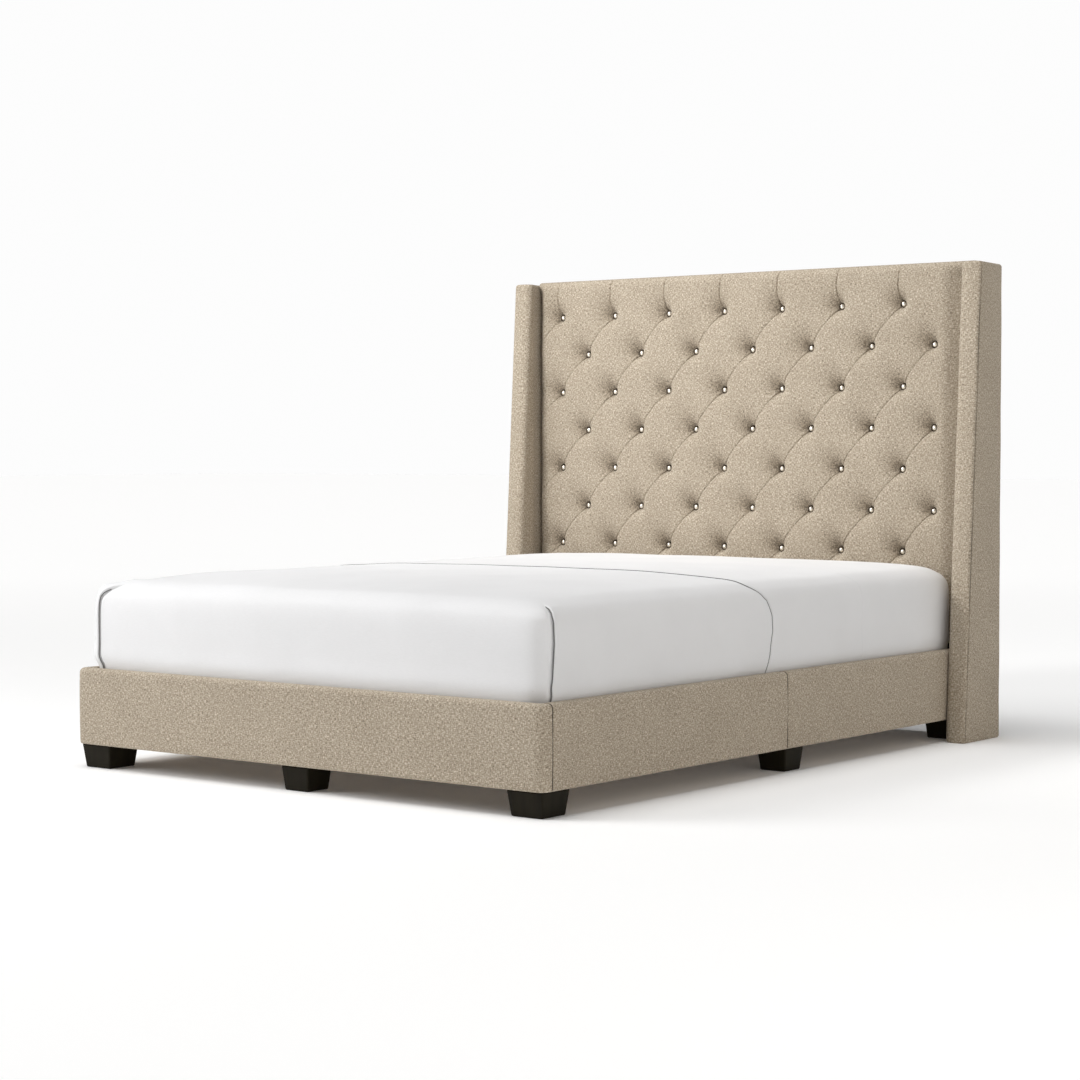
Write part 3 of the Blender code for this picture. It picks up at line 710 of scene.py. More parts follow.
def respaced(rings, model, step):
    """The rings with more points, each spread round its ring as they are round the model one."""
    fine = spaced(model, step)
    wanted = run_lengths(np.vstack([fine, model[0]]))[:-1]
    at = run_lengths(np.array([*model, model[0]]))
    closed = np.array([[*ring, ring[0]] for ring in rings])
    spread = [[np.interp(wanted, at, ring[:, i]) for i in range(2)] for ring in closed]
    return np.array(spread).transpose(0, 2, 1)


def wing(word, side):
    """A padded wing with a bull-nosed front, a sewn outer front edge and softly rounded top."""
    low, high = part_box(f"wing_cover_{word}")
    inner, outer = sorted((abs(low.x), abs(high.x)))
    thickness = outer - inner
    top, back = high.z, high.y
    lean = WING_LEAN / top
    over_top = WING_TOP_RADIUS * (1 - np.sin(np.radians(np.linspace(0, 90, 9))))
    straight = np.linspace(0.014, top - 0.018, 110)
    heights = np.concatenate([[0.0, 0.0015, 0.004, 0.008], straight, top - over_top])
    rings = [wing_ring(height, top, low.y + lean * height, back, thickness) for height in heights]
    plan = respaced(rings, rings[MODEL_RING], WING_SPACING)
    levels = np.broadcast_to(heights[:, None, None], (*plan.shape[:2], 1))
    points = np.concatenate([plan, levels], axis=2)
    around = run_lengths(points[MODEL_RING])

    # The seam: a shallow groove just round the outer front corner, with a low ridge before it.
    # x, y and z are views of the points, so a change to them in place moves the points.
    x, y, z = points[..., 0], points[..., 1], points[..., 2]
    front = low.y + lean * z
    past = y - front - OUTER_CORNER
    behind = np.clip((y - front) / (back - front), 0, 1)
    on_side, on_front = x > thickness - 0.004, y < front + 0.010
    groove = SEAM_GROOVE * bell(past - 0.0022, 0.0017)
    ridge = SEAM_RIDGE * bell(past + 0.002, 0.0020)
    swell = SIDE_SWELL * np.sin(math.pi * behind)
    nose = NOSE * np.sin(math.pi * np.clip(x / thickness, 0, 1))
    uneven = 0.0005 * ripple(y + x, z, 0.19, 5 + side)
    x += np.where(on_side, ridge - groove + swell + uneven, 0.0) - SIDE_SWELL
    y += np.where(on_front, uneven - nose, 0.0) + NOSE

    # The inner face swells out in front of the tufted panel, and the top falls a little backwards.
    panel_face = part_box("headboard_tufted_pad")[0].y
    swell_in = INNER_SWELL * eased((panel_face - 0.004 - y) / 0.030) * eased((0.022 - x) / 0.020)
    x[:] = side * (inner - swell_in + np.clip(x, 0.0, thickness + 0.001))
    fall = TOP_FALL * np.clip((y - front) / (back - front), 0, 1)
    z -= fall * eased((z - top + 0.05) / 0.05)
    mesh = faced_out(lines_mesh(f"wing_{word}", points, around, heights))
    cover = piece(f"wing_upholstery_{word}", mesh, LINEN, FRAME_BODY, "linen", f"wing_cover_{word}")
    seam = np.linspace(0.006, top - 0.016, 60)[:, None] * (0.0, lean, 1.0)
    seam += (side * (outer - 0.0010), low.y + OUTER_CORNER, 0.0)
    welt = seam + (side * -0.0012, 0.0020, 0.0)
    line(f"wing_seam_{word}", welt, (side, 0.0, 0.0), 0.0012, SEAM_CORD, FRAME_BODY, "linen")
    return stitch_row(seam + (0.0, 0.0048, 0.0), (side, 0.0, 0.0))


# --- Rails

RAIL_TOP_RADIUS = 0.013
RAIL_EDGE_RADIUS = 0.006
CORNER_RADIUS = 0.030
SEAM_ROUND = 0.0036
SEAM_VALLEY = 0.0058
SEAM_DROP = 0.0040
RAIL_PUFF = 0.0014
BOARD_GAP = 0.0004
CORD_INSET = 0.0008


def rail_section():
    """The rail cover's section as (depth, height), round the CAD board, with its points close."""
    cover_low, cover_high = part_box("side_rail_right_foot_cover")
    board_low, board_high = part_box("side_rail_right_foot_board")
    depth = cover_high.x - cover_low.x
    padding = cover_high.x - board_high.x - BOARD_GAP
    board_bottom, board_top = board_low.z - BOARD_GAP, board_high.z + BOARD_GAP
    bottom, top, edge = cover_low.z, cover_high.z, RAIL_EDGE_RADIUS
    outline = [(0.022, bottom)]
    outline += arc((edge, bottom + edge), edge, 270, 180, 4)
    outline += arc((RAIL_TOP_RADIUS, top - RAIL_TOP_RADIUS), RAIL_TOP_RADIUS, 180, 90, 8)
    outline += arc((depth - edge, top - edge), edge, 90, 0, 4)
    outline += [(depth, top - 0.045), (depth - 0.0017, top - 0.045), (depth - 0.0017, board_top),
                (padding, board_top), (padding, board_bottom), (0.022, board_bottom)]
    return spaced(outline, 0.008)


def fullness(gap):
    """How full the padding is at a distance from a seam: nothing at the seam, rounding up to 1."""
    return math.sqrt(1 - (1 - min(1.0, gap / SEAM_ROUND)) ** 2)


def puffed(section, share, seed, along):
    """The section at a station: padded out a little between its ends, with slight unevenness."""
    depth, height = section[:, 0].copy(), section[:, 1].copy()
    middle = np.clip((height - height.min()) / (height.max() - height.min()), 0, 1)
    bulge = RAIL_PUFF * np.sin(math.pi * middle)
    uneven = 0.00045 * ripple(np.full(len(section), along), height, 0.16, seed)
    depth -= np.where(depth < 0.004, (bulge + uneven) * share, 0.0)
    depth += SEAM_VALLEY * (1 - share) * (depth < 0.02)
    height -= SEAM_DROP * (1 - share) * (height > height.max() - 0.004)
    return depth, height


def side_rail(word, side, half, section, seed):
    """Half a side rail's cover, rounded in at both ends where it meets its neighbour."""
    low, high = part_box(f"side_rail_{word}_{half}_cover")
    outer = max(abs(low.x), abs(high.x))
    ends = SEAM_ROUND * (1 - np.cos(np.radians(np.linspace(0, 90, 7))))
    straight = np.linspace(low.y + 0.008, high.y - 0.008, 110)
    alongs = np.concatenate([low.y + ends, straight, high.y - ends[::-1]])
    rows = []
    for along in alongs:
        depth, height = puffed(section, fullness(min(along - low.y, high.y - along)), seed, along)
        rows.append(np.column_stack([side * (outer - depth), np.full(len(depth), along), height]))
    mesh = lines_mesh(f"side_rail_{word}_{half}", np.array(rows), run_lengths(section), alongs)
    name = f"side_rail_upholstery_{word}_{half}"
    return piece(name, faced_out(mesh), LINEN, FRAME_BODY, "linen", f"side_rail_{word}_{half}_cover")


def foot_rail(section):
    """The foot rail's cover, carried round both corners to the side seams."""
    low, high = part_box("foot_rail_cover")
    half, end = high.x, high.y
    seam = end - SEAM_ROUND * (1 - np.cos(np.radians(np.linspace(0, 90, 7))))
    turns = [(y, None) for y in seam] + [(None, angle) for angle in np.radians(np.linspace(0, 90, 13))]
    rows = []
    for side in (-1, 1):
        for y, angle in turns[::-side]:
            share = 1.0 if y is None else fullness(end - y)
            depth, height = puffed(section, share, 21, 0.3 * side)
            if angle is None:
                x = half - depth
                along = np.maximum(y, low.y + np.minimum(depth, end - low.y))
            else:
                radius = np.maximum(CORNER_RADIUS - depth, 0.0)
                spare = np.maximum(depth - CORNER_RADIUS, 0.0)
                x = half - CORNER_RADIUS + radius * math.cos(angle) - spare
                along = low.y + CORNER_RADIUS - radius * math.sin(angle) + spare
            rows.append(np.column_stack([side * x, along, height]))
        if side < 0:
            for x in np.linspace(-half + CORNER_RADIUS + 0.008, half - CORNER_RADIUS - 0.008, 150):
                depth, height = puffed(section, 1.0, 21, x)
                rows.append(np.column_stack([np.full(len(depth), x), low.y + depth, height]))
    points = np.array(rows)
    travelled = run_lengths(points[:, np.argmin(section[:, 0] + np.abs(section[:, 1] - 0.16))])
    mesh = lines_mesh("foot_rail", points, run_lengths(section), travelled)
    return piece("foot_rail_upholstery", faced_out(mesh), LINEN, FRAME_BODY, "linen", "foot_rail_cover")


def rails():
    """The foot rail and both halves of each side rail, with their seams and stitches."""
    section = rail_section()
    foot_rail(section)
    seed = 31
    rows = []
    for word, side in SIDES:
        for half in ("foot", "head"):
            side_rail(word, side, half, section, seed)
            seed += 1
        low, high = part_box(f"side_rail_{word}_foot_cover")
        face, rounding = max(abs(low.x), abs(high.x)), high.z - RAIL_TOP_RADIUS
        heights = np.linspace(low.z + 0.004, rounding, 30)
        path = [(face - CORD_INSET, z) for z in heights]
        path += arc((face - RAIL_TOP_RADIUS, rounding), RAIL_TOP_RADIUS - CORD_INSET, 0, 90, 12)[1:]
        path.append((face - 0.026, high.z - CORD_INSET))
        for place, y in (("corner", low.y), ("middle", high.y)):
            cord = np.array([(side * x, y, z) for x, z in path])
            line(f"rail_seam_{word}_{place}", cord, (0.0, -1.0, 0.0), 0.0011, SEAM_CORD, FRAME_BODY, "linen")
            for shift in (-0.0052, 0.0052):
                seam = [(side * (face + 0.0003), y + shift, z) for z in heights[2:-1]]
                rows.append(stitch_row(seam, (side, 0.0, 0.0)))
    stitches("rail_seam_stitches", rows)


# --- Mattress and bedding

mattress_low, mattress_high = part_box("mattress")
HALF_WIDTH = mattress_high.x
FOOT_END, HEAD_END = mattress_low.y, mattress_high.y
UNDERSIDE, EDGE_TOP = mattress_low.z, mattress_high.z - 0.016

EDGE_REACH = 0.058
EDGE_DROP = 0.044
PLAN_RADIUS = 0.028
OVERHANG = 0.012
INWARD_ROUNDING = 0.35
SHEET_EDGE = 0.930
UNDER_HEM = 0.090
FOLD_PLACE = 0.055
LEFT_FOLD_PLACE = -0.009
LEFT_FOLD_SWAY = 0.30
SIDE_EDGE_REACH = 0.35
FOLD_REACH = 0.080
DOME = 0.010
DOME_DROP = 0.009
FOOT_RISE = 0.012
CLOTH_VOXEL = 0.020
CLOTH_PRESSURE = 4.0
CLOTH_FRAMES = 20
MOST_MOVED = 0.010
FITTED_LIFT = 0.0010
HEAD_PRESS = 0.70
SMOOTHING_PASSES = 2
CORNER_LAYERS = 0.006
CORNER_PEAK = 0.006
FLAT_LIFT = 0.0062
LEAST_LIFT = 0.0026
CLOTH_THICKNESS = 0.0011
CLOTH_WAVES = 0.0009
RISE_BESIDE_FLAT = 0.0014
CREASE_DEPTH = 0.0011
HEM_RISE = 0.0012
HEM_STITCH_DENT = 0.0005
# The radius of the grey cords of painted shadow along the flat sheet's edge and folds.
SHADOW_LINE_RADIUS = 0.0015

# The flat sheet's side edge and its corner fold, as (height, distance) down the mattress's side:
# the edge's distance is along the bed, and the fold's is round the corner from the foot face.
SIDE_EDGE_HEIGHTS = (0.20, 0.262, 0.32, 0.38, 0.42, 0.462, 0.485, 0.503, 0.515)
SIDE_EDGE_ALONGS = (0.970, 1.001, 1.025, 1.038, 1.033, 1.012, 0.985, 0.950, 0.930)
FOLD_HEIGHTS = (0.20, 0.269, 0.33, 0.40, 0.46, 0.480, 0.492, 0.502)
FOLD_DISTANCES = (0.042, 0.050, 0.062, 0.068, 0.067, 0.061, 0.050, 0.036)
FOLD_TOP = 0.500
CREASE = 1.505
FOLD_GROOVE = 0.0034
FOLD_HEM = 0.0040
# The last rings of the mattress's top, as shares of its half-width: close round its centre.
CENTRE_SHARES = (0.010, 0.004, 0.0)


def outline_marks():
    """Distances round the mattress's outline to the ends of its straight and curved stretches.

    They start on the right side, level with the flat sheet's edge, and go round by the foot.
    """
    quarter = PLAN_RADIUS * math.pi / 2
    width = 2 * (HALF_WIDTH - PLAN_RADIUS)
    depth = HEAD_END - FOOT_END - 2 * PLAN_RADIUS
    to_foot = FOOT + SHEET_EDGE - FOOT_END - PLAN_RADIUS
    stretches = [to_foot, quarter, width, quarter, depth, quarter, width, quarter, depth - to_foot]
    return np.concatenate([[0.0], np.cumsum(stretches)])


def outline_points(distances, insets):
    """X and Y at distances round the outline, drawn in by insets, with rounder corners inwards."""
    marks = outline_marks()
    radius = PLAN_RADIUS + INWARD_ROUNDING * insets
    east, south, north = HALF_WIDTH - insets, FOOT_END + insets, HEAD_END - insets
    x, foot_y, head_y = east - radius, south + radius, north - radius
    centres = [x + 1j * foot_y, -x + 1j * foot_y, -x + 1j * head_y, x + 1j * head_y]
    start = east + 1j * (FOOT + SHEET_EDGE)
    knots = [start, east + 1j * foot_y, x + 1j * south, -x + 1j * south, -east + 1j * foot_y,
             -east + 1j * head_y, -x + 1j * north, x + 1j * north, east + 1j * head_y, start]
    places = 0j
    for stretch in range(9):
        share = (distances - marks[stretch]) / (marks[stretch + 1] - marks[stretch])
        if stretch % 2:
            turn = np.exp(-0.5j * math.pi * (stretch // 2 + share))
            spot = centres[stretch // 2] + radius * turn
        else:
            spot = knots[stretch] * (1 - share) + knots[stretch + 1] * share
        places = np.where((share >= 0) & (share <= 1), spot, places)
    return places.real, places.imag


def key_columns():
    """Distances round the outline to the right and left folds, and to the flat sheet's left edge."""
    marks = outline_marks()
    return marks[2] - FOLD_PLACE, marks[3] + LEFT_FOLD_PLACE, marks[4] + marks[1]


def stations(total, clusters, coarse):
    """Distances from 0 up to total: close together in each (centre, reach, step) cluster."""
    marks = {0.0, total}
    for centre, reach, step in clusters:
        marks |= {round(centre + d, 5) % total for d in np.arange(-reach, reach + step / 2, step)}
    spread = [0.0]
    for mark in sorted(marks):
        if mark - spread[-1] < 0.0006:
            continue
        count = max(1, math.ceil((mark - spread[-1]) / coarse))
        spread += list(np.linspace(spread[-1], mark, count + 1)[1:])
    return np.array([s for s in spread if s < total - 0.0006])


def soft_levels(under):
    """(inset, height) levels from under the mattress, up its side and over its top edge."""
    levels = [(inset, UNDERSIDE) for inset in np.linspace(under, 0.020, 6)]
    levels += [(0.009, UNDERSIDE + 0.003), (0.002, UNDERSIDE + 0.011)]
    levels += [(0.0, z) for z in np.linspace(UNDERSIDE + 0.022, EDGE_TOP - EDGE_DROP, 28)]
    for angle in np.radians(np.linspace(0, 90, 15))[1:]:
        height = EDGE_TOP - EDGE_DROP * (1 - math.sin(angle))
        levels.append((EDGE_REACH * (1 - math.cos(angle)), height))
    return np.array(levels)


def crowned(points):
    """The mattress's dome: highest in the middle, lowest at the foot corners."""
    # x, y and z are views of the points, so a change to them in place moves the points.
    x, y, z = points[..., 0], points[..., 1], points[..., 2]
    across = np.clip(np.abs(x) / HALF_WIDTH, 0, 1)
    along = np.clip((y - FOOT_END) / (HEAD_END - FOOT_END), 0, 1)
    dome = DOME * (1 - across ** 2.6) + FOOT_RISE * eased(along / 0.18) - DOME_DROP
    z += dome * eased((z - (EDGE_TOP - EDGE_DROP)) / EDGE_DROP)

    # Above the rails the sides swell out a little over their padded tops.
    swell = 1 + OVERHANG / HALF_WIDTH * eased((z - 0.276) / 0.030) * eased((0.53 - z) / 0.10)
    x *= swell
    y += np.minimum(y - (FOOT_END + HEAD_END) / 2, 0.0) * (swell - 1) * 0.75
    return points


def wrapped_grid(columns, levels, top_rings):
    """Points all over the mattress: up from its under hem, then in towards the flat sheet's edge."""
    insets, heights = levels[:, :1], levels[:, 1:]
    total = outline_marks()[-1]
    right_fold, left_fold, edge_left = key_columns()
    shift = np.interp(heights, SIDE_EDGE_HEIGHTS, SIDE_EDGE_ALONGS) - SHEET_EDGE
    fold_shift = np.interp(heights, FOLD_HEIGHTS, FOLD_DISTANCES) - FOLD_PLACE

    def near(centre, reach):
        away = np.abs((columns - centre + total / 2) % total - total / 2)
        return eased(1 - away / reach)[None, :]

    distances = columns + shift * (near(edge_left, SIDE_EDGE_REACH) - near(0.0, SIDE_EDGE_REACH))
    distances -= fold_shift * near(right_fold, FOLD_REACH)
    distances += LEFT_FOLD_SWAY * fold_shift * near(left_fold, FOLD_REACH)
    x, y = outline_points(distances % total, insets)
    points = np.stack([x, y, np.broadcast_to(heights, x.shape)], axis=-1)

    rim = points[-1]
    centre = np.array([0.0, FOOT + SHEET_EDGE, rim[0, 2]])
    shares = np.append(np.linspace(1, 0, top_rings)[1:-1], CENTRE_SHARES)
    inner = centre + (rim - centre) * shares[:, None, None]
    inner[..., 1] += edge_wave(inner[..., 0]) * eased(1 - np.abs(inner[..., 1] - centre[1]) / 0.35)
    return np.concatenate([points, inner])


def edge_wave(x):
    """How far the flat sheet's edge strays towards the head, across the top of the mattress."""
    return 0.018 * np.sin(3.1 * x + 0.5) * np.maximum(1 - (x / 0.69) ** 2, 0)


def flat_edge_on_top(x):
    """The flat sheet's edge across the top of the mattress: along, for each X."""
    reach = HALF_WIDTH - EDGE_REACH
    rim_edge = np.interp(EDGE_TOP, SIDE_EDGE_HEIGHTS, SIDE_EDGE_ALONGS)
    return SHEET_EDGE + (rim_edge - SHEET_EDGE) * np.abs(x) / reach + edge_wave(x)


def inflated(obj):
    """The object's mesh as closed cloth blown up a little, its points' places, and their moves."""
    remesh = obj.modifiers.new("remesh", "REMESH")
    remesh.mode = "VOXEL"
    remesh.voxel_size = CLOTH_VOXEL
    obj.data = evaluated(obj)
    rest = vectors(obj.data.vertices, "co")
    cloth = obj.modifiers.new("cloth", "CLOTH")
    cloth.settings.use_pressure = True
    cloth.settings.uniform_pressure_force = CLOTH_PRESSURE
    cloth.settings.effector_weights.gravity = 0.0
    scene = bpy.context.scene
    for frame_number in range(1, CLOTH_FRAMES + 1):
        scene.frame_set(frame_number)
    blown = evaluated(obj)
    scene.frame_set(1)
    moved = vectors(blown.vertices, "co") - rest
    far = np.linalg.norm(moved, axis=1, keepdims=True)
    return blown, rest, moved * np.minimum(1.0, MOST_MOVED / np.maximum(far, 1e-9))


def mattress_body():
    """The mattress itself, its soft upper half swollen as cloth and its lower half held by the rails."""
    columns = stations(outline_marks()[-1], [], 0.03)
    points = crowned(wrapped_grid(columns, soft_levels(0.05), 30))
    points[..., 2] -= 0.005 * eased((points[..., 2] - EDGE_TOP + EDGE_DROP) / EDGE_DROP)
    mesh = faced_out(lines_mesh("mattress_body", points, columns, np.arange(len(points))))
    body = placed("mattress_body", mesh)
    mesh, rest, moved = inflated(body)
    free = eased((rest[:, 2] - 0.275) / 0.06)[:, None]
    mesh.vertices.foreach_set("co", (rest + moved * free).astype(np.float32).ravel())
    bpy.data.objects.remove(body)
    mesh.materials.clear()
    mesh.shade_smooth()
    body = piece("mattress_body", mesh, ticking(), MATTRESS_BODY, "ticking", "mattress")
    return body


def laid_on(body, points):
    """The grid moved onto the body's surface, and the surface's normal at each of its points."""
    body.modifiers.new("smooth", "SUBSURF").levels = 1
    fine = evaluated(body)
    tree = BVHTree.FromPolygons([v.co for v in fine.vertices], [p.vertices for p in fine.polygons])
    bpy.data.meshes.remove(fine)
    nearest = [tree.find_nearest(Vector(p))[0][:] for p in points.reshape(-1, 3)]
    points = np.array(nearest).reshape(points.shape)
    for _ in range(SMOOTHING_PASSES):
        points = (np.roll(points, 1, axis=1) + 2 * points + np.roll(points, -1, axis=1)) / 4
    mesh = faced_out(lines_mesh("normals", points, 0.0, np.zeros(len(points))))
    normals = vectors(mesh.vertex_normals, "vector").reshape(points.shape)
    bpy.data.meshes.remove(mesh)
    return points, normals


def thin_sheet(name, base, normals, outer, inner, closed):
    """A closed sheet of cloth between two lifts off a surface, whose last row meets in one point."""
    normals[-1] = normals[-2].mean(axis=0) / np.linalg.norm(normals[-2].mean(axis=0))
    outer[-1], inner[-1] = outer[-2].mean(), inner[-2].mean()
    rows, columns = outer.shape
    points = np.concatenate([base + normals * lift[..., None] for lift in (outer, inner)])
    number = np.arange(2 * rows * columns).reshape(2, rows, columns)
    if closed:
        number = np.concatenate([number, number[..., :1]], axis=2)
    upper, lower = number
    strips = [(upper[:-1], upper[1:]), (lower[1:], lower[:-1]), (lower[:1], upper[:1])]
    if not closed:
        strips += [(upper[:, :1].T, lower[:, :1].T), (lower[:, -1:].T, upper[:, -1:].T)]
    faces = []
    for near, far in strips:
        quads = np.stack([near[:, :-1], near[:, 1:], far[:, 1:], far[:, :-1]], axis=-1)
        faces += quads.reshape(-1, 4).tolist()
    mesh = faced_out(new_mesh(name, points, faces), joined=1e-6)
    mesh.shade_smooth()
    return mesh


class Laid:
    """A fine grid laid all over the mattress, and how each of its points lies to the flat sheet."""

    def __init__(self):
        total = outline_marks()[-1]
        *self.folds, self.edge_left = key_columns()
        clusters = [(centre, 0.030, 0.002) for centre in (0.0, self.edge_left)]
        clusters += [(fold, 0.018, 0.0012) for fold in self.folds]
        clusters += [(total + SHEET_EDGE - CREASE, 0.008, 0.002)]
        self.columns = stations(total, clusters, 0.014)
        levels = soft_levels(UNDER_HEM)
        grid = crowned(wrapped_grid(self.columns, levels, 40))
        self.base, self.normals = laid_on(mattress_body(), grid)
        self.on_side = (np.arange(len(grid)) < len(levels))[:, None]
        self.level = np.append(levels[:, 1], np.full(len(grid) - len(levels), EDGE_TOP))[:, None]

        # How far each point lies beyond the flat sheet's edge, towards the head.
        side_edge = np.interp(self.level, SIDE_EDGE_HEIGHTS, SIDE_EDGE_ALONGS)
        edge = np.where(self.on_side, side_edge, flat_edge_on_top(grid[..., 0]))
        x, y, z = self.base[..., 0], self.base[..., 1], self.base[..., 2]
        self.beyond = y - FOOT - edge
        self.held = eased((z - UNDERSIDE - 0.004) / 0.05)
        self.soft = CLOTH_WAVES * ripple(x + z, y - z, 0.34, 9) * self.held


def fitted_sheet(laid):
    """The fitted sheet over the whole mattress, thin under the flat sheet, with a pressed crease."""
    beside_flat = RISE_BESIDE_FLAT * bell(laid.beyond - 0.03, 0.03)
    under_flat = eased((0.009 - laid.beyond) / 0.008)
    pressed = 1 - HEAD_PRESS * eased((laid.base[..., 1] - HEAD_END + 0.05) / 0.04)
    outer = (FLAT_LIFT + beside_flat + laid.soft) * (1 - under_flat) * pressed * laid.held + FITTED_LIFT
    from_crease = (laid.columns - outline_marks()[-1] - SHEET_EDGE + CREASE)[None, :]
    outer -= CREASE_DEPTH * bell(from_crease, 0.0022) * laid.on_side * laid.held
    inner = outer - CLOTH_THICKNESS + 0.0002
    mesh = thin_sheet("fitted_sheet", laid.base, laid.normals, outer, inner, True)
    sheet = piece("fitted_sheet_cloth", mesh, COTTON, MATTRESS_BODY, "cotton", "fitted_sheet")


def flat_sheet(laid):
    """The flat sheet tucked in over the foot half, folded at both foot corners, with a stitched hem and grey
    cords of painted shadow along its edge and folds.
    """
    keep = np.flatnonzero(laid.columns <= laid.edge_left + 1e-4)
    columns, level = laid.columns[keep], laid.level
    base, normals, beyond = laid.base[:, keep], laid.normals[:, keep], laid.beyond[:, keep]
    outer = FLAT_LIFT + laid.soft[:, keep] + HEM_RISE * bell(beyond + 0.003, 0.003)
    outer -= HEM_STITCH_DENT * bell(beyond + 0.024, 0.0016)
    for fold, way in zip(laid.folds, (-1, 1)):
        outer += fold_lift((columns - fold)[None, :] * way, level)

    # Layers of folded cloth stand on the left foot corner, highest near the fold's top.
    from_corner = (columns - outline_marks()[3:5].mean())[None, :]
    layers = eased((level - 0.27) / 0.03) * bell(from_corner, 0.024)
    layers *= CORNER_LAYERS + CORNER_PEAK * bell(level - 0.487, 0.013)
    outer += layers * laid.on_side
    outer = LEAST_LIFT + (np.maximum(outer, LEAST_LIFT + CLOTH_THICKNESS) - LEAST_LIFT) * laid.held[:, keep]
    solid = np.maximum(eased((beyond + 0.030) / 0.004), eased(layers / 0.002))
    thickness = CLOTH_THICKNESS + (outer - CLOTH_THICKNESS - FITTED_LIFT - 0.0003) * solid
    inner = outer - np.maximum(thickness, CLOTH_THICKNESS)

    # Grey cords along the edge and at each fold stand for the shadow lines there: painted shadow.
    lifted = base + normals * outer[..., None]
    rows = slice(-len(CENTRE_SHARES))
    edge = np.concatenate([lifted[rows, 0], lifted[rows, -1][::-1]])
    over = np.concatenate([normals[rows, 0], normals[rows, -1][::-1]])
    proud = 0.0013 * eased((over[:, 2:] - 0.6) / 0.3) - 0.0005
    threads = [painted_shadow_line("sheet_edge_shadow_line", edge + (0.0, 0.0010, 0.0) + over * proud, over)]
    for word, fold, way, end in zip(("right", "left"), laid.folds, (-1, 1), (FOLD_TOP, FOLD_TOP - 0.010)):
        rows = np.flatnonzero((level[:, 0] > 0.258) & (level[:, 0] < end))
        column = np.argmin(np.abs(columns - fold + way * 0.0012))
        lift = FLAT_LIFT + 0.0012 - 0.0030 * eased((level[rows] - end + 0.012) / 0.012)
        path = base[rows, column] + normals[rows, column] * (lift + layers[rows, column, None])
        threads.append(painted_shadow_line(f"fold_shadow_line_{word}", path, normals[rows, column]))
    mesh = thin_sheet("flat_sheet", base, normals, outer, inner, False)
    sheet = piece("flat_sheet_cloth", mesh, COTTON, MATTRESS_BODY, "cotton", "flat_sheet")


def painted_shadow_line(name, path, normals):
    """A grey cord of painted shadow along the sheet's edge or a corner fold, where the edge's shadow line
    falls.
    """
    return line(name, path, normals, SHADOW_LINE_RADIUS, SHADOW_LINE_THREAD, MATTRESS_BODY, "cotton")


def fold_lift(past, height):
    """The corner fold: the side panel's hem stands over a groove, at each distance past it."""
    reach = eased((height - 0.215) / 0.03) * eased((FOLD_TOP + 0.004 - height) / 0.012)
    mouth = bell(height - 0.478, 0.014)
    width = 0.0040 + 0.0060 * mouth
    groove = -(FOLD_GROOVE + 0.0012 * mouth) * bell(past + width * 0.6, width) * (past < 0.0008)
    groove = groove + (0.0030 * mouth - 0.0015) * bell(past + 0.022, 0.012)
    hem = (FOLD_HEM + 0.0022 * mouth) * eased((past + 0.0010) / 0.0016)
    hem = hem * np.where(past > 0.004, 0.25 + 0.75 * np.exp(-(past - 0.004) / 0.020), 1.0)
    hem = hem * eased((0.45 - past) / 0.40)
    return (groove + hem) * reach


# --- Floor, light and camera

WHITE = (1.0, 1.0, 1.0, 1.0)
WARM = (1.0, 0.96, 0.90)
MIDDLE = (0.0, 0.0, 0.0)
FLOOR_WHITE = 0.97
FLOOR_GLOW = 0.155
AMBIENT = 0.09
BACKDROP = 0.98
OVERHEAD = 1.74
KEY = 0.85
SIDE_BOUNCE = 0.66
SIDE_FILL = 14.0
FILL = 45.0
HEADBOARD_LIGHT = 13.0
LENS = 81.2
SENSOR_WIDTH = 36.0
CAMERA_PLACE = (4.2164, FOOT - 4.4436, 0.8585)
CAMERA_TILT = 87.886
CAMERA_TURN = 37.635


def stage():
    reach = 60.0
    corners = [(-reach, -reach, 0), (reach, -reach, 0), (reach, reach, 0), (-reach, reach, 0)]
    floor = placed("studio_floor", new_mesh("studio_floor", corners, [(0, 1, 2, 3)]))
    white = Shader("studio_white", 0.9, Base_Color=(FLOOR_WHITE, FLOOR_WHITE, FLOOR_WHITE, 1.0),
                   Emission_Strength=FLOOR_GLOW)
    distance = white.add("ShaderNodeVectorMath", operation="LENGTH")
    white.link(white.object_space(0.08), distance.inputs[0])
    glow = white.ramp(distance.outputs["Value"], (0.10, (0.20, 0.20, 0.20)), (0.80, (1.0, 1.0, 1.0)))
    white.link(glow, white.surface.inputs["Emission Color"])
    floor.data.materials.append(white.material)


def lamp(name, kind, place, target, **settings):
    light = bpy.data.lights.new(name, kind)
    for key, value in settings.items():
        setattr(light, key, value)
    obj = placed(name, light)
    obj.location = place
    obj.rotation_euler = (Vector(target) - Vector(place)).to_track_quat("-Z", "Y").to_euler()


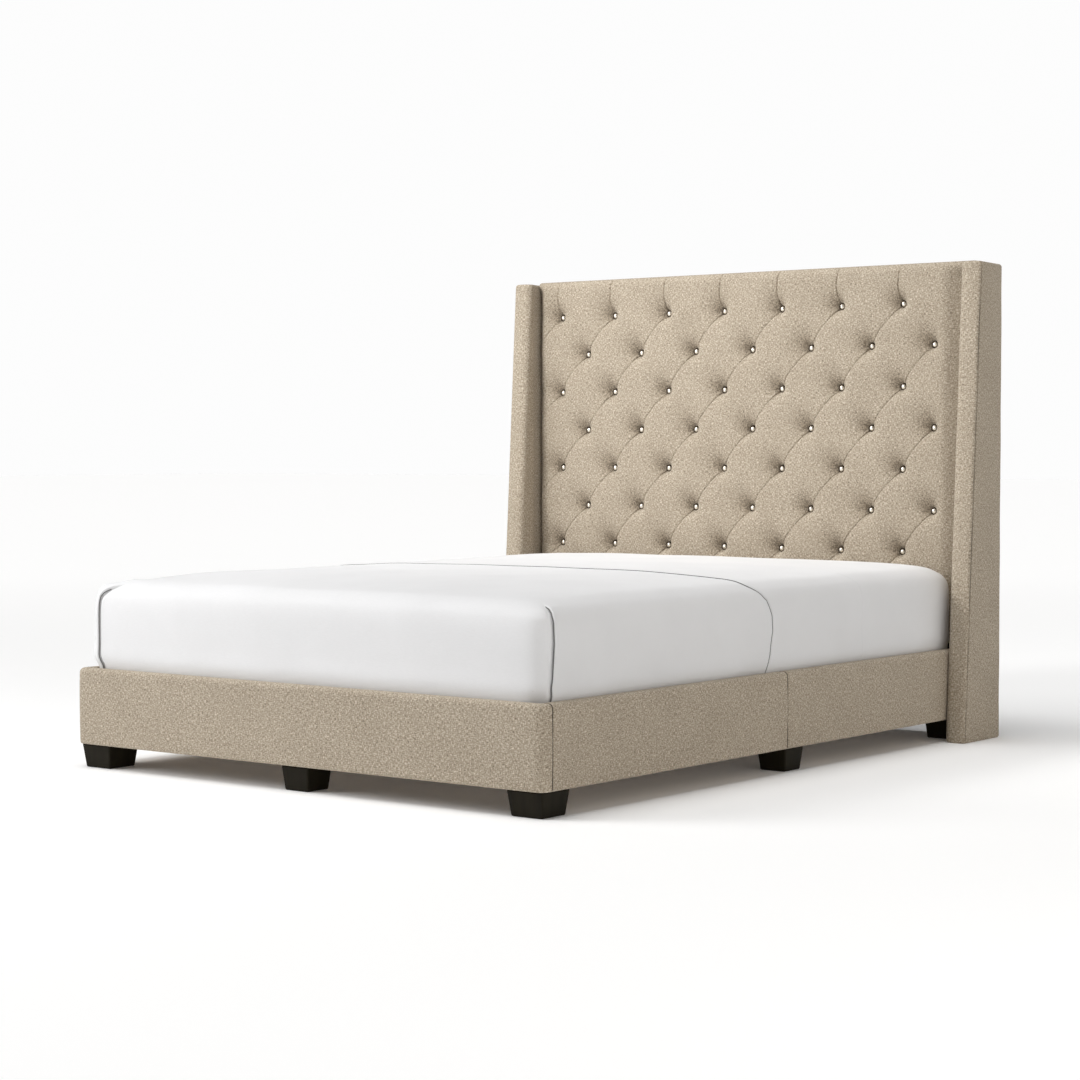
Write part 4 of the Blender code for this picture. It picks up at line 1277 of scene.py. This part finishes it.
def studio():
    """White all round, lit from above and the upper left, with soft light from both sides."""
    scene = bpy.context.scene
    scene.view_settings.view_transform = "Standard"
    world = bpy.data.worlds.new("studio")
    scene.world = world
    world.use_nodes = True
    tree = world.node_tree
    ambient, backdrop = tree.nodes["Background"], tree.nodes.new("ShaderNodeBackground")
    mix, path = tree.nodes.new("ShaderNodeMixShader"), tree.nodes.new("ShaderNodeLightPath")
    tree.links.new(path.outputs["Is Camera Ray"], mix.inputs["Fac"])
    for node, strength, socket in ((ambient, AMBIENT, 1), (backdrop, BACKDROP, 2)):
        node.inputs["Color"].default_value = WHITE
        node.inputs["Strength"].default_value = strength
        tree.links.new(node.outputs["Background"], mix.inputs[socket])
    tree.links.new(mix.outputs["Shader"], tree.nodes["World Output"].inputs["Surface"])
    lamp("overhead", "SUN", (-0.6, -1.0, 7.6), MIDDLE, energy=OVERHEAD, angle=math.radians(40))
    lamp("key", "SUN", (-6.0, -3.6, 6.0), MIDDLE, energy=KEY, angle=math.radians(32))
    lamp("side_bounce", "SUN", (6.0, -1.5, 2.4), MIDDLE, energy=SIDE_BOUNCE,
         angle=math.radians(80), color=WARM)
    lamp("fill", "AREA", (-2.7, -3.4, 1.7), (-0.6, -0.6, 0.4), energy=FILL, size=1.6, shape="DISK")
    lamp("side_fill", "AREA", (4.5, -1.8, 1.0), (0.8, -0.6, 0.4), energy=SIDE_FILL, size=2.0,
         shape="DISK", color=WARM)
    lamp("headboard_light", "AREA", (-2.0, -2.4, 3.0), (0.0, 1.0, 1.10), energy=HEADBOARD_LIGHT,
         size=1.0, shape="DISK", spread=math.radians(60))


def camera():
    data = bpy.data.cameras.new("camera")
    data.lens = LENS
    data.sensor_width = SENSOR_WIDTH
    obj = placed("camera", data)
    obj.location = CAMERA_PLACE
    obj.rotation_euler = (math.radians(CAMERA_TILT), 0.0, math.radians(CAMERA_TURN))
    bpy.context.scene.camera = obj


def dress_cad():
    """Detailed materials for the CAD nodes that stay as they are, by how their names begin."""
    pine = {way: wood(f"pine_{way}", (0.50, 0.35, 0.20), (0.74, 0.57, 0.38), way, 0.62) for way in "XYZ"}
    ply = {way: wood(f"plywood_{way}", (0.42, 0.30, 0.18), (0.62, 0.47, 0.31), way, 0.66) for way in "XYZ"}
    espresso = wood("espresso_wood", (0.0085, 0.0068, 0.0034), (0.0160, 0.0130, 0.0068), "Z", 0.60, 0.12)
    kinds = {
        "leg_": espresso, "slat_ledger": pine["Y"], "centre_beam": pine["Y"], "slat_": pine["X"],
        "headboard_top_rail": pine["X"], "headboard_bottom_rail": pine["X"], "headboard_post": pine["Z"],
        "foot_rail_board": ply["X"], "headboard_panel": ply["X"], "side_rail": ply["Y"],
        "wing_frame": ply["Z"], "headboard_back_cover": dust_cloth(), "": black_steel()}
    for name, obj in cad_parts.items():
        if not obj.hide_render:
            start = next(start for start in kinds if name.startswith(start))
            obj.material_slots[0].material = kinds[start]


camera()
stage()
studio()
headboard_buttons(headboard_cover())
stitches("wing_seam_stitches", [wing(word, side) for word, side in SIDES])
rails()
laid = Laid()
fitted_sheet(laid)
flat_sheet(laid)
dress_cad()
